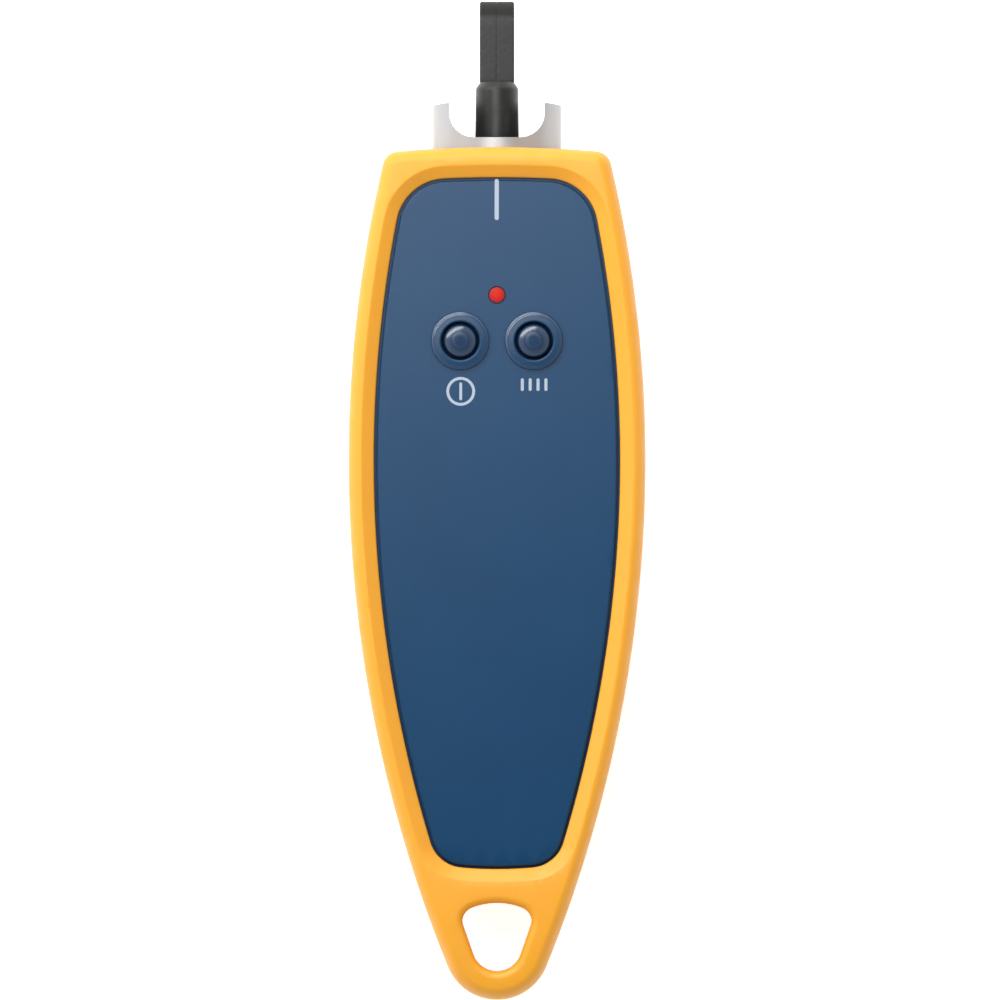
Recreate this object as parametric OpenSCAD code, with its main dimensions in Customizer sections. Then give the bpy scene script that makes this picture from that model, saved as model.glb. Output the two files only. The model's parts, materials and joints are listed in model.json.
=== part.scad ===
// Visual fault locator: a hand-held red light source for tracing optical fibre.
// It lies on its back. +X is right, +Y runs to the light port, +Z leaves the front face.
// The origin is on the rest plane of the back, on the centre line, at the widest level.

/* [Boot] */
// Width of the rubber boot at its widest level
boot_w = 43.5; // [43:0.25:45]
// Length from the widest level to the boot's top edge
boot_top = 45.8; // [45.4:0.2:47]
// Length from the widest level to the boot's tail
boot_tail = 79; // [76:0.5:81]
// Thickness of the boot from the back rest to the front crest
boot_t = 28; // [28:0.25:30]
// Radius of the long side curve above the widest level
side_up_r = 189; // [180:1:200]
// Radius of the long side curve below the widest level
side_low_r = 196.5; // [192:0.5:205]
// Radius of the bowed top edge
top_bow_r = 171; // [120:1:220]
// Radius of the boot's top corners in plan
boot_corner_r = 2.4; // [2:0.1:3.5]
// Thickness of the boot's side wall
boot_wall = 2.6; // [2.2:0.1:2.7]

/* [Front window] */
// Width of the boot's front rim beside the window
rim_w = 3.75; // [3.4:0.05:4]
// Height of the window's top edge above the widest level
window_top = 41.3; // [40.8:0.1:41.6]
// Depth of the window's bottom edge below the widest level
window_bottom = 59.8; // [58:0.2:61]
// Radius of the window's top corners
window_top_r = 7.4; // [6:0.1:8]
// Radius of the window's bottom corners
window_bottom_r = 5.2; // [4:0.1:6]
// Width of the sloping bevel round the window
bevel_w = 1.9; // [1.6:0.1:2]
// Depth of that bevel
bevel_h = 1.4; // [1:0.1:1.8]
// Thickness of the lip at the window's edge
lip_t = 0.8; // [0.6:0.05:1]
// Gap between the lip and the cover's raised panel
panel_gap = 0.4; // [0.3:0.05:0.6]

/* [Lanyard eye] */
// Half the width between the eye's upper corner centres
eye_half = 2.85; // [2.4:0.05:3.2]
// Radius of the eye's upper corners
eye_upper_r = 2.2; // [2:0.05:2.5]
// Radius of the eye's lower end
eye_lower_r = 3.65; // [3.3:0.05:3.8]
// Height of the eye's upper corner centres above the tail
eye_upper_y = 11.5; // [11:0.1:12.5]
// Height of the eye's lower end centre above the tail
eye_lower_y = 7.8; // [7.6:0.05:8.2]
// Radius of the eye's rounded edges
eye_edge_r = 1.1; // [0.8:0.05:1.3]

/* [Covers] */
// Wall of the two hard covers
cover_wall = 1.8; // [1.6:0.1:2]
// Thickness of the front panel
panel_t = 2; // [1.8:0.1:2.2]
// Width of the boot's rear rim
rear_rim_w = 5; // [4.6:0.1:5.2]
// Radius of the battery door's hinge edge, half the door's thickness
door_edge_r = 1.1; // [1:0.05:1.2]
// Height of the door's hinge line above the widest level
door_hinge_y = 28.9; // [28.6:0.1:29.3]

/* [Keys and lamp] */
// Half the distance between the two keys
key_half = 5.38; // [5.2:0.02:5.6]
// Height of the keys above the widest level
key_y = 17.4; // [16:0.2:18]
// Radius of a key's dome
key_r = 2.45; // [2.2:0.05:2.55]
// Radius of the hole round a key
key_hole_r = 2.8; // [2.7:0.05:3]
// Outer radius of the raised ring round a key
bezel_r = 4.29; // [4:0.05:4.6]
// Height of that ring above the panel
bezel_h = 0.75; // [0.5:0.05:0.9]
// Travel of a key
key_travel = 0.5; // [0.3:0.05:0.5]
// Height of the status lamp above the widest level
lamp_y = 24.1; // [23.5:0.1:24.5]
// Radius of the status lamp's hole
lamp_r = 1.2; // [1:0.05:1.4]

/* [Light port] */
// Outer radius of the port's guard collar
collar_r = 9.4; // [9.2:0.1:9.6]
// Wall of that collar
collar_wall = 1.4; // [1.2:0.1:1.5]
// Height of the collar's two wings above the boot's top edge
wing_h = 6.5; // [5:0.1:7]
// Radius of the bow along the tops of the wings
wing_bow_r = 53; // [45:1:60]
// Half the width of the cut between the wings
cut_half = 7; // [6.8:0.1:7.2]
// Radius of the cut's lower corners
cut_r = 3.6; // [3:0.1:4]
// Bore of the ferrule sleeve, across
ferrule_d = 2.5; // [2.5:0.01:2.52]
// Length of the ferrule sleeve
sleeve_len = 8.7; // [8:0.1:9]
// Outer radius of the dust cap
cap_r = 3.2; // [3.1:0.05:3.4]
// Length of the dust cap
cap_len = 8.4; // [8:0.1:9]
// Width of the cap's strap
strap_w = 5.05; // [4.6:0.05:5.4]
// Thickness of the cap's strap
strap_t = 1.6; // [1.4:0.05:1.8]
// Mean radius of the strap's bend
strap_bend_r = 3.1; // [2.9:0.05:3.3]
// Height of the top of the strap's bend above the widest level
strap_top = 67.2; // [65:0.2:70]

/* [Cells and board] */
// Length of an AA cell over its stud
cell_len = 50.5; // [50:0.1:50.5]
// Diameter of an AA cell
cell_d = 14.5; // [14.3:0.1:14.5]
// Thickness of the circuit board
board_t = 1.2; // [1:0.1:1.4]
// Outer radius of the light module's barrel
barrel_r = 5.5; // [5:0.1:5.6]

/* [Hidden] */
$fn = 64;

// Clearances and overruns
eps = 0.5;
fit = 0.15;
run_fit = 0.1;
slip = 0.05;
seat = 0.02;

// Levels through the thickness
mid_z = boot_t / 2;
panel_z = boot_t - bevel_h;
ledge_z = panel_z - lip_t - fit;
panel_under_z = panel_z - panel_t;
rear_lip_t = 1.4;
rear_ledge_z = rear_lip_t + fit;
rear_pad_z = 0.6;
rear_floor_z = rear_ledge_z + cover_wall;

// Boot: fall of its front face and rise of its back towards the tail
belly_y = -36;
belly_r = 69;
front_fall = 1.5;
fall_y = -window_bottom - bevel_w;
crest_inset = 1.6;
edge_soft = 0.7;
flank_inset = 0.3;
bottom_bow_r = 59;
eye_n = 4;
eye_rise = 2.75;

// Shares: levels up the flank, points of the bevel as [width, depth], steps over the back
flank_shares = [0.4, 0.65];
bevel_shares = [[1, 0], [0.8, 0.1], [0.15, 0.86], [0, 1]];
back_shares = [0.34, 0.67];
tail_r = (side_low_r * side_low_r - pow(side_low_r - boot_w / 2, 2) - boot_tail * boot_tail)
    / (2 * (side_low_r - boot_tail));

// Points in each stretch of half an outline
top_n = 5;
corner_n = 6;
up_n = 9;
low_n = 14;
turn_n = 7;
end_n = 7;

// Covers in plan
cover_inset = boot_wall + fit;
cover_top_r = 4;
rear_window_top = 40;
rear_window_bottom = 58.4;
rear_top_r = 6;
rear_bottom_r = 4.6;
tongue_h = 0.9;
tongue_w = 0.7;
tongue_inset = 0.6;

// Bosses and screws
boss_r = 2.7;
boss_inset = 7.15;
boss_high_y = 34;
boss_drop = 11.8;
screw_r = 1;
screw_head_r = 1.7;
screw_head_h = 1.5;
screw_head_gap = 0.2;
screw_seat_z = 4.6;
screw_len = 15;
rib_t = 1.4;

// Battery door and bay
door_inset = 8.2;
door_past_bay = 1.8;
door_gap = 0.25;
door_corner_r = 3;
door_pin_r = 0.6;
door_pin_len = 1.4;
door_z = rear_pad_z + door_edge_r;
door_rib_h = 0.5;
door_rib_w = 1.2;
door_rib_n = 4;
tongue_cut_w = 0.8;
tongue_half = 4;
tongue_len = 9;
grip_n = 4;
grip_pitch = 1.4;
grip_r = 0.35;
cell_r = cell_d / 2;
cell_x = cell_r + fit;
cell_z = 10.95;
bay_top = 26.2;
bay_end_t = 1.4;
bay_roof_t = 1.1;
bay_r = cell_r + 2 * fit;
roof_z = cell_z + bay_r + bay_roof_t;

// Contacts
plate_t = 0.5;
plate_half = 4.6;
plate_low = -4.4;
plate_high = 5;
tab_half = 1;
stud_r = 2.6;
stud_h = 1;
cell_lip = 0.6;
spring_h = 4.9;
spring_big_r = 4;
spring_small_r = 2.2;
bay_low = bay_top - cell_len - spring_h - 2 * plate_t;
door_latch_y = door_past_bay - bay_low;

// Board
board_z = 20.3;
board_top_z = board_z + board_t;
board_half = 11;
board_low = -6;
board_shoulder = 28;
board_high = 32.5;
neck_half = 8.3;
post_r = 1.9;
post_at = [6.6, 30.2];
pin_at = [8.8, -3.4];
pin_r = 0.95;
board_screw_r = 0.8;
board_head_r = 1.5;
board_head_h = 0.9;
board_screw_len = 3.4;

// Keys
key_flange_r = 3.4;
key_flange_t = 0.6;
key_dome_h = 0.8;
key_stem_r = 1.2;
plunger_r = 1;
switch_side = 6;
switch_h = 1.5;
switch_gap = key_travel + 2 * run_fit;

// Port stack along Y, from the collar's floor up
floor_sink = 2.2;
collar_floor_y = boot_top - floor_sink;
collar_floor_t = 1.3;
cut_floor_h = 2.3;
flange_r = collar_r + 1;
flange_t = 1.5;
flange_sink = 6.2;
flange_y = boot_top - flange_sink;
barrel_low = 29.3;
neck_r = 2.8;
ring_r = 4.6;
ring_t = 1.1;
adapter_r = 2.5;
adapter_flange_r = 3.2;
adapter_flange_t = 0.9;
adapter_len = 7;
sleeve_wall = 0.35;
aperture_r = 0.9;

// Plan outlines. A stretch of arc about c from angle a to angle b, without its last point.
function arc(c, r, a, b, n) =
    [for (i = [0:n - 1]) let (t = a + (b - a) * i / n) c + r * [cos(t), sin(t)]];
function bearing(a, b) = atan2(b[1] - a[1], b[0] - a[0]);
function with_mirror(half) = concat(half, [for (i = [len(half) - 2:-1:1]) [-half[i][0], half[i][1]]]);

// Where two circles cross, on the upper side for way = 1 and the lower side for way = -1
function crossing(a, ra, b, rb, way) =
    let (d = norm(b - a), u = (b - a) / d, s = (ra * ra - rb * rb + d * d) / (2 * d))
    a + s * u + way * sqrt(ra * ra - s * s) * [u[1], -u[0]];

up_c = [boot_w / 2 - side_up_r, 0];
low_c = [boot_w / 2 - side_low_r, 0];
tail_c = [0, tail_r - boot_tail];

// Half the width at a level along the body, less inset
function side_x(inset, y) = y > 0 ? up_c[0] + sqrt(pow(side_up_r - inset, 2) - y * y)
    : low_c[0] + sqrt(pow(side_low_r - inset, 2) - y * y);

boss_top = [side_x(boss_inset, boss_high_y), boss_high_y];
boss_low = [side_x(boss_inset, bay_low - boss_drop), bay_low - boss_drop];

function low_corner(inset, bottom, r) =
    crossing([0, bottom_bow_r - bottom], bottom_bow_r - r, low_c, side_low_r - inset - r, -1);

// The right half of an outline from its top middle to the lowest side point before its bottom turn
function flank(inset, top, top_r, last) =
    let (bow_c = [0, top - top_bow_r],
        c = crossing(bow_c, top_bow_r - top_r, up_c, side_up_r - inset - top_r, 1))
    concat(
        arc(bow_c, top_bow_r, 90, bearing(bow_c, c), top_n),
        arc(c, top_r, bearing(bow_c, c), bearing(up_c, c), corner_n),
        arc(up_c, side_up_r - inset, bearing(up_c, c), 0, up_n),
        arc(low_c, side_low_r - inset, 0, last, low_n));

// A closed outline with the boot's sides set in by inset, a bowed top and a bowed bottom
function plan(inset, top, top_r, bottom, bottom_r) =
    let (bow_c = [0, bottom_bow_r - bottom], c = low_corner(inset, bottom, bottom_r), turn = bearing(low_c, c))
    with_mirror(concat(flank(inset, top, top_r, turn),
        arc(c, bottom_r, turn, bearing(bow_c, c), turn_n),
        arc(bow_c, bottom_bow_r, bearing(bow_c, c), -90, end_n), [[0, -bottom]]));

// The boot's own outline, which ends in the round tail
function boot_plan(inset) =
    let (turn = bearing(low_c, low_corner(rim_w, window_bottom, window_bottom_r)),
        join = bearing(low_c, tail_c))
    with_mirror(concat(flank(inset, boot_top - inset, max(boot_corner_r - inset, boot_corner_r / 8), turn),
        arc(low_c, side_low_r - inset, turn, join, turn_n),
        arc(tail_c, tail_r - inset, join, -90, end_n), [[0, inset - boot_tail]]));

function window_plan(grow) =
    plan(rim_w - grow, window_top + grow, window_top_r + grow, window_bottom + grow, window_bottom_r + grow);
function hold_plan(inset) = plan(inset, boot_top - inset, cover_top_r + cover_inset - inset,
    window_bottom + rim_w - inset, window_bottom_r + rim_w - inset);
function rear_plan(shrink) = plan(rear_rim_w + shrink, rear_window_top - shrink, rear_top_r - shrink,
    rear_window_bottom - shrink, rear_bottom_r - shrink);

// Depth of the boot's back and height of its front at a level along it
function back_z(y) = y > belly_y ? 0 : belly_r - sqrt(belly_r * belly_r - (y - belly_y) * (y - belly_y));
function front_z(y) = boot_t - (y > fall_y ? 0 : front_fall * pow((fall_y - y) / (boot_tail + fall_y), 2));
function between(a, b, share) = a * (1 - share) + b * share;

// An outline raised to a surface: share 0 is the back, 1 the front, and rise is added to it
function ring(outline, share, rise) =
    [for (p = outline) [p[0], p[1], between(back_z(p[1]), front_z(p[1]), share) + rise]];

// The closed loop of rings that makes the boot: back edge, flank, front crest, bevel, lip, inside, rear lip
boot_rings = concat([
    ring(boot_plan(crest_inset), 0, 0),
    ring(boot_plan(edge_soft), 0, edge_soft / 2),
    ring(boot_plan(flank_inset), 0, 2 * edge_soft)],
    [for (s = flank_shares) ring(boot_plan(0), s, 0)], [
    ring(boot_plan(flank_inset), 1, -3 * edge_soft),
    ring(boot_plan(edge_soft), 1, -edge_soft),
    ring(boot_plan((edge_soft + crest_inset) / 2), 1, -edge_soft / 4),
    ring(boot_plan(crest_inset), 1, 0),
    ring((boot_plan(crest_inset) + window_plan(bevel_w)) / 2, 1, 0)],
    [for (s = bevel_shares) ring(window_plan(bevel_w * s[0]), 1, -bevel_h * s[1])], [
    ring(window_plan(0), 1, -bevel_h - lip_t),
    ring(hold_plan(boot_wall), 1, -bevel_h - lip_t),
    ring(hold_plan(boot_wall), 0, rear_lip_t),
    ring(rear_plan(0), 0, rear_lip_t),
    ring(rear_plan(0), 0, edge_soft / 2),
    ring(rear_plan(-edge_soft / 2), 0, 0)],
    [for (s = back_shares) ring(between(rear_plan(-edge_soft / 2), boot_plan(crest_inset), s), 0, 0)]);

module closed_loop(rings) {
    n = len(rings[0]);
    m = len(rings);
    polyhedron([for (r = rings) each r],
        [for (i = [0:m - 1], j = [0:n - 1])
            let (next = (j + 1) % n, up = ((i + 1) % m) * n,
                a = i * n + j, b = i * n + next, c = up + next, d = up + j)
            each [[a, d, b], [b, d, c]]]);
}

// Everything in front of the boot's back surface set in by depth
module before_back(depth) {
    reach = boot_w + boot_tail;
    translate([-reach, belly_y, depth]) cube([2 * reach, reach + boot_top, 2 * boot_t]);
    intersection() {
        translate([-reach, belly_y, belly_r]) rotate([0, 90, 0])
            cylinder(r = belly_r - depth, h = 2 * reach, $fn = 256);
        translate([-reach, belly_y - reach, -boot_t]) cube([2 * reach, reach, 3 * boot_t]);
    }
}

// A revolved profile of [radius, height along Y] points, about the port's axis
module about_port(points) {
    translate([0, 0, mid_z]) rotate([-90, 0, 0]) rotate_extrude() polygon(points);
}

// A cylinder along Y between two levels
module along_y(r, y0, y1, x = 0, z = mid_z) {
    translate([x, y0, z]) rotate([-90, 0, 0]) cylinder(r = r, h = y1 - y0);
}

module both_sides() {
    for (s = [-1, 1]) scale_x(s) children();
}

module scale_x(s) {
    if (s < 0) mirror([1, 0, 0]) children();
    else children();
}

// The eye's outline widened by grow: a bowed top, two upper corners, straight sides and a round lower end
function eye_plan(grow) =
    let (corner_c = [eye_half, eye_upper_y - boot_tail], low_end = [0, eye_lower_y - boot_tail],
        bow_r = (eye_half * eye_half + eye_rise * eye_rise - eye_upper_r * eye_upper_r)
            / (2 * (eye_rise - eye_upper_r)),
        bow_c = [0, corner_c[1] + eye_rise - bow_r], away = norm(corner_c - low_end),
        side = bearing(low_end, corner_c) - acos((eye_lower_r - eye_upper_r) / away))
    with_mirror(concat(arc(bow_c, bow_r + grow, 90, bearing(bow_c, corner_c), turn_n),
        arc(corner_c, eye_upper_r + grow, bearing(bow_c, corner_c), side, turn_n),
        arc(low_end, eye_lower_r + grow, side, -90, low_n), [low_end - [0, eye_lower_r + grow]]));

// How far step i of the eye's rounded edge lies outwards, and how far below the face
function eye_flare(i) = eye_edge_r * (1 - cos(90 * i / eye_n));
function eye_drop(i) = eye_edge_r * (1 - sin(90 * i / eye_n));

// Rings of the eye's cutter from the back to the front: each edge turns outwards through a quarter circle
eye_rings = concat(
    [[for (p = eye_plan(eye_edge_r)) [p[0], p[1], -eye_edge_r]]],
    [for (i = [eye_n:-1:0]) ring(eye_plan(eye_flare(i)), 0, eye_drop(i))],
    [for (i = [0:eye_n]) ring(eye_plan(eye_flare(i)), 1, -eye_drop(i))],
    [[for (p = eye_plan(eye_edge_r)) [p[0], p[1], boot_t + eye_edge_r]]]);

// A solid through a stack of matched rings, closed by a flat face at each end
module lofted(rings) {
    n = len(rings[0]);
    m = len(rings);
    polyhedron([for (r = rings) each r], concat(
        [for (i = [0:m - 2], j = [0:n - 1])
            let (a = i * n + j, b = i * n + (j + 1) % n, c = (i + 1) * n + (j + 1) % n, d = (i + 1) * n + j)
            each [[a, b, d], [b, c, d]]],
        [[for (j = [n - 1:-1:0]) j], [for (j = [0:n - 1]) (m - 1) * n + j]]));
}

module rubber_boot() {
    color([0.98, 0.70, 0.20]) difference() {
        closed_loop(boot_rings);
        lofted(eye_rings);
        along_y(collar_r + fit, boot_top - 2 * boot_wall, boot_top + boot_wall);
    }
}

module front_cover() {
    color([0.17, 0.31, 0.44]) difference() {
        union() {
            difference() {
                union() {
                    translate([0, 0, mid_z]) linear_extrude(ledge_z - mid_z) polygon(hold_plan(cover_inset));
                    translate([0, 0, mid_z]) linear_extrude(panel_z - mid_z) polygon(window_plan(-panel_gap));
                }
                translate([0, 0, mid_z - eps]) linear_extrude(panel_under_z - mid_z + eps)
                    polygon(hold_plan(cover_inset + cover_wall));
            }
            front_tongue();
            for (s = [-1, 1]) translate([s * key_half, key_y, panel_z]) bezel();
            intersection() {
                front_inside();
                translate([0, 0, mid_z]) linear_extrude(panel_z - lip_t - mid_z)
                    polygon(hold_plan(cover_inset + cover_wall / 2));
            }
        }
        for (s = [-1, 1]) translate([s * key_half, key_y, mid_z]) cylinder(r = key_hole_r, h = boot_t);
        translate([0, lamp_y, mid_z]) cylinder(r = lamp_r, h = boot_t);
        along_y(collar_r + run_fit, boot_top - flange_t - 2 * boot_wall, boot_top);
        along_y(flange_r + run_fit, flange_y - run_fit, flange_y + flange_t + run_fit);
        for (s = [-1, 1], b = [boss_top, boss_low]) translate([s * b[0], b[1], mid_z - eps])
            cylinder(r = screw_r + slip, h = screw_len - mid_z + screw_seat_z + 2 * eps);
        for (s = [-1, 1]) translate([s * post_at[0], post_at[1], board_top_z - eps])
            cylinder(r = board_screw_r + slip, h = board_screw_len);
    }
}

module front_tongue() {
    translate([0, 0, mid_z - tongue_h]) linear_extrude(tongue_h + eps) difference() {
        polygon(hold_plan(cover_inset + tongue_inset));
        polygon(hold_plan(cover_inset + tongue_inset + tongue_w));
    }
}

// Raised ring round a key hole, with a crowned top
module bezel() {
    crown = bezel_h / 3;
    rotate_extrude() polygon([[key_hole_r - slip, -eps], [bezel_r, -eps], [bezel_r, bezel_h - 2 * crown],
        [bezel_r - crown, bezel_h - crown / 2], [bezel_r - 2 * crown, bezel_h],
        [key_hole_r + 2 * crown, bezel_h], [key_hole_r + crown / 2, bezel_h - crown],
        [key_hole_r - slip, bezel_h - 3 * crown]]);
}

// Bosses, posts and ribs that stand inside the front cover
module front_inside() {
    for (s = [-1, 1], b = [boss_top, boss_low])
        translate([s * b[0], b[1], mid_z]) cylinder(r = boss_r, h = panel_z - lip_t - mid_z);
    for (s = [-1, 1]) {
        for (p = [post_at, pin_at]) translate([s * p[0], p[1], board_top_z])
            cylinder(r = post_r, h = panel_under_z - board_top_z + eps);
        translate([s * pin_at[0], pin_at[1], board_z - seat]) cylinder(r = pin_r, h = panel_under_z - board_z);
    }
    difference() {
        translate([-boot_w / 2, flange_y - run_fit - rib_t, mid_z])
            cube([boot_w, rib_t, panel_under_z - mid_z + eps]);
        along_y(barrel_r + run_fit, flange_y - 2 * rib_t, flange_y + rib_t);
    }
}

module rear_cover() {
    color([0.15, 0.28, 0.40]) difference() {
        intersection() {
            union() {
                difference() {
                    linear_extrude(mid_z) polygon(hold_plan(cover_inset));
                    intersection() {
                        linear_extrude(mid_z + eps) polygon(hold_plan(cover_inset + cover_wall));
                        before_back(rear_floor_z);
                    }
                }
                rear_inside();
            }
            union() {
                before_back(rear_ledge_z);
                intersection() {
                    before_back(rear_pad_z);
                    linear_extrude(mid_z) polygon(rear_plan(2 * fit));
                }
            }
        }
        translate([0, 0, mid_z - tongue_h - run_fit]) linear_extrude(tongue_h + 2 * run_fit + eps) difference() {
            polygon(hold_plan(cover_inset + tongue_inset - run_fit));
            polygon(hold_plan(cover_inset + tongue_inset + tongue_w + run_fit));
        }
        battery_room();
        along_y(collar_r + run_fit, boot_top - flange_t - 2 * boot_wall, boot_top);
        along_y(flange_r + run_fit, flange_y - run_fit, flange_y + flange_t + run_fit);
        for (s = [-1, 1], b = [boss_top, boss_low]) {
            translate([s * b[0], b[1], -eps])
                cylinder(r = screw_head_r + screw_head_gap, h = screw_seat_z + eps);
            translate([s * b[0], b[1], 0]) cylinder(r = screw_r + run_fit, h = boot_t);
        }
    }
}

// Bosses, ribs and the battery box inside the rear cover
module rear_inside() {
    wall_plan = cover_inset + cover_wall / 2;
    intersection() {
        linear_extrude(boot_t) polygon(hold_plan(wall_plan));
        union() {
            for (s = [-1, 1], b = [boss_top, boss_low])
                translate([s * b[0], b[1], 0]) cylinder(r = boss_r, h = mid_z);
            difference() {
                translate([-boot_w / 2, flange_y - run_fit - rib_t, 0]) cube([boot_w, rib_t, mid_z]);
                along_y(barrel_r + run_fit, flange_y - 2 * rib_t, flange_y + rib_t);
            }
            difference() {
                translate([-barrel_r - rib_t, board_high - rib_t, 0])
                    cube([2 * (barrel_r + rib_t), rib_t, mid_z]);
                along_y(barrel_r + run_fit, board_high - 2 * rib_t, board_high + rib_t);
            }
        }
    }
    intersection() {
        linear_extrude(boot_t) polygon(hold_plan(cover_inset + cover_wall + fit));
        translate([-boot_w / 2, bay_low - bay_end_t, 0])
            cube([boot_w, bay_top - bay_low + 2 * bay_end_t, roof_z]);
    }
}

// The room for the cells, the contacts, the door and the door's pins
module battery_room() {
    both_sides() translate([cell_x - tab_half - run_fit, bay_top - plate_t - run_fit, cell_z])
        cube([2 * (tab_half + run_fit), plate_t + run_fit, boot_t]);
    translate([-cell_x - plate_half, bay_low, cell_z + plate_low])
        cube([2 * (cell_x + plate_half), plate_t + run_fit, plate_high - plate_low + run_fit]);
    both_sides() along_y(bay_r, bay_low, bay_top, cell_x, cell_z);
    translate([-cell_x - cell_r, bay_low, door_z])
        cube([2 * (cell_x + cell_r), bay_top - bay_low, cell_z - door_z]);
    translate([0, 0, -eps]) linear_extrude(rear_pad_z + 2 * door_edge_r + run_fit + eps) intersection() {
        polygon(plan(door_inset - door_gap, boot_top - rim_w, door_corner_r, door_latch_y + door_gap,
            door_corner_r + door_gap));
        translate([-boot_w, -boot_tail]) square([2 * boot_w, boot_tail + door_hinge_y + door_edge_r + door_gap]);
    }
    both_sides() translate([0, door_hinge_y, door_z]) rotate([0, 90, 0])
        cylinder(r = door_pin_r + run_fit, h = hinge_half + door_pin_len + run_fit);
}

// Half the straight length of the door's hinge edge
hinge_half = side_x(door_inset, door_hinge_y + door_edge_r) - slip;

module battery_door() {
    color([0.15, 0.28, 0.40]) {
        difference() {
            union() {
                translate([0, 0, rear_pad_z]) linear_extrude(2 * door_edge_r) intersection() {
                    polygon(plan(door_inset, boot_top - rim_w, door_corner_r, door_latch_y, door_corner_r));
                    translate([-boot_w, -boot_tail]) square([2 * boot_w, boot_tail + door_hinge_y]);
                }
                translate([-hinge_half, door_hinge_y, door_z]) rotate([0, 90, 0])
                    cylinder(r = door_edge_r, h = 2 * hinge_half);
                translate([-hinge_half - door_pin_len, door_hinge_y, door_z]) rotate([0, 90, 0])
                    cylinder(r = door_pin_r, h = 2 * (hinge_half + door_pin_len));
                for (i = [1:door_rib_n], s = [-1, 1])
                    translate([s * cell_x - cell_r / 2, between(bay_low, bay_top, i / (door_rib_n + 1)), door_z])
                        cube([cell_r, door_rib_w, door_edge_r + door_rib_h]);
            }
            for (x = [-tongue_half - tongue_cut_w, tongue_half]) translate([x, -door_latch_y - eps, 0])
                cube([tongue_cut_w, tongue_len + eps, boot_t]);
            for (i = [0:grip_n - 1]) translate([-tongue_half, grip_pitch * (i + 1) - door_latch_y, rear_pad_z])
                rotate([0, 90, 0]) cylinder(r = grip_r, h = 2 * tongue_half);
        }
    }
}

// A key: a flange held under the panel, a domed cap in the hole and a stem on the plunger
module key() {
    dome_r = (key_r * key_r + key_dome_h * key_dome_h) / (2 * key_dome_h);
    flange_z = panel_under_z - run_fit;
    cap_z = panel_z + bezel_h - key_dome_h / 2;
    translate([0, 0, flange_z - key_flange_t]) cylinder(r = key_flange_r, h = key_flange_t);
    translate([0, 0, flange_z - eps]) cylinder(r = key_r, h = cap_z - flange_z + eps);
    intersection() {
        translate([0, 0, cap_z + key_dome_h - dome_r]) sphere(r = dome_r);
        translate([0, 0, cap_z - slip]) cylinder(r = key_r, h = 2 * key_dome_h);
    }
    translate([0, 0, plunger_top_z]) cylinder(r = key_stem_r, h = flange_z - plunger_top_z);
}

switch_top_z = board_top_z + switch_h;
plunger_top_z = switch_top_z + switch_gap;

module power_button() {
    color([0.16, 0.28, 0.41]) translate([-key_half, key_y, 0]) key();
}

module flash_button() {
    color([0.16, 0.28, 0.41]) translate([key_half, key_y, 0]) key();
}

module plunger() {
    low = board_top_z + key_travel + run_fit;
    translate([0, 0, low]) cylinder(r = plunger_r, h = plunger_top_z - low);
}

module power_plunger() {
    color("dimgray") translate([-key_half, key_y, 0]) plunger();
}

module flash_plunger() {
    color("dimgray") translate([key_half, key_y, 0]) plunger();
}

// A tactile switch's body, with the bore that its plunger slides in
module switch_body() {
    difference() {
        translate([-switch_side / 2, -switch_side / 2, board_top_z]) cube([switch_side, switch_side, switch_h]);
        translate([0, 0, board_top_z - eps]) cylinder(r = plunger_r + run_fit, h = switch_h + 2 * eps);
    }
}

module power_switch() {
    color("black") translate([-key_half, key_y, 0]) switch_body();
}

module flash_switch() {
    color("black") translate([key_half, key_y, 0]) switch_body();
}

led_len = 3.2;
led_w = 1.6;
led_h = 1.1;
pipe_flange_w = 0.5;
pipe_flange_t = 0.95;
pipe_n = 5;

module status_led() {
    color("white") translate([-led_len / 2, lamp_y - led_w / 2, board_top_z]) cube([led_len, led_w, led_h]);
}

// Clear light pipe between the lamp chip and the panel
module led_lens() {
    pipe_r = lamp_r - slip;
    dome_h = pipe_r / 4;
    top_z = panel_z + dome_h;
    low_z = board_top_z + led_h + slip;
    flange_z = panel_under_z - slip;
    color([0.9, 0.2, 0.15]) translate([0, lamp_y, 0]) rotate_extrude() polygon(concat(
        [[0, low_z], [pipe_r, low_z], [pipe_r, flange_z - pipe_flange_t], [pipe_r + pipe_flange_w, flange_z - pipe_flange_t],
        [pipe_r + pipe_flange_w, flange_z], [pipe_r, flange_z]],
        [for (i = [0:pipe_n]) [pipe_r * cos(90 * i / pipe_n), top_z - dome_h * (1 - sin(90 * i / pipe_n))]]));
}

module circuit_board() {
    color([0.1, 0.4, 0.2]) translate([0, 0, board_z]) difference() {
        linear_extrude(board_t) union() {
            translate([-board_half, board_low]) square([2 * board_half, board_shoulder - board_low]);
            translate([-neck_half, board_low]) square([2 * neck_half, board_high - board_low]);
        }
        for (s = [-1, 1]) {
            translate([s * post_at[0], post_at[1], -eps])
                cylinder(r = board_screw_r + run_fit, h = board_t + 2 * eps);
            translate([s * pin_at[0], pin_at[1], -eps]) cylinder(r = pin_r + run_fit, h = board_t + 2 * eps);
            translate([s * cell_x - tab_half - run_fit, bay_top - plate_t - run_fit, -eps])
                cube([2 * (tab_half + run_fit), plate_t + 2 * run_fit, board_t + 2 * eps]);
        }
        for (i = [-1:1]) translate([i * lead_pitch, lead_y, -eps])
            cylinder(r = lead_r + run_fit, h = board_t + 2 * eps);
    }
}

chip_size = [5, 4, 1.5];
chip_y = 6;
chip_leg_n = 4;
chip_leg = [0.8, 0.4, 0.4];
inductor_r = 2.4;
inductor_waist_r = 1.7;
inductor_h = 2.2;
inductor_at = [-7, 3.4];
capacitor = [2, 1.25, 1];
capacitor_pitch = 2.6;
capacitor_at = [6.4, 1.6];
capacitor_n = 3;

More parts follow.
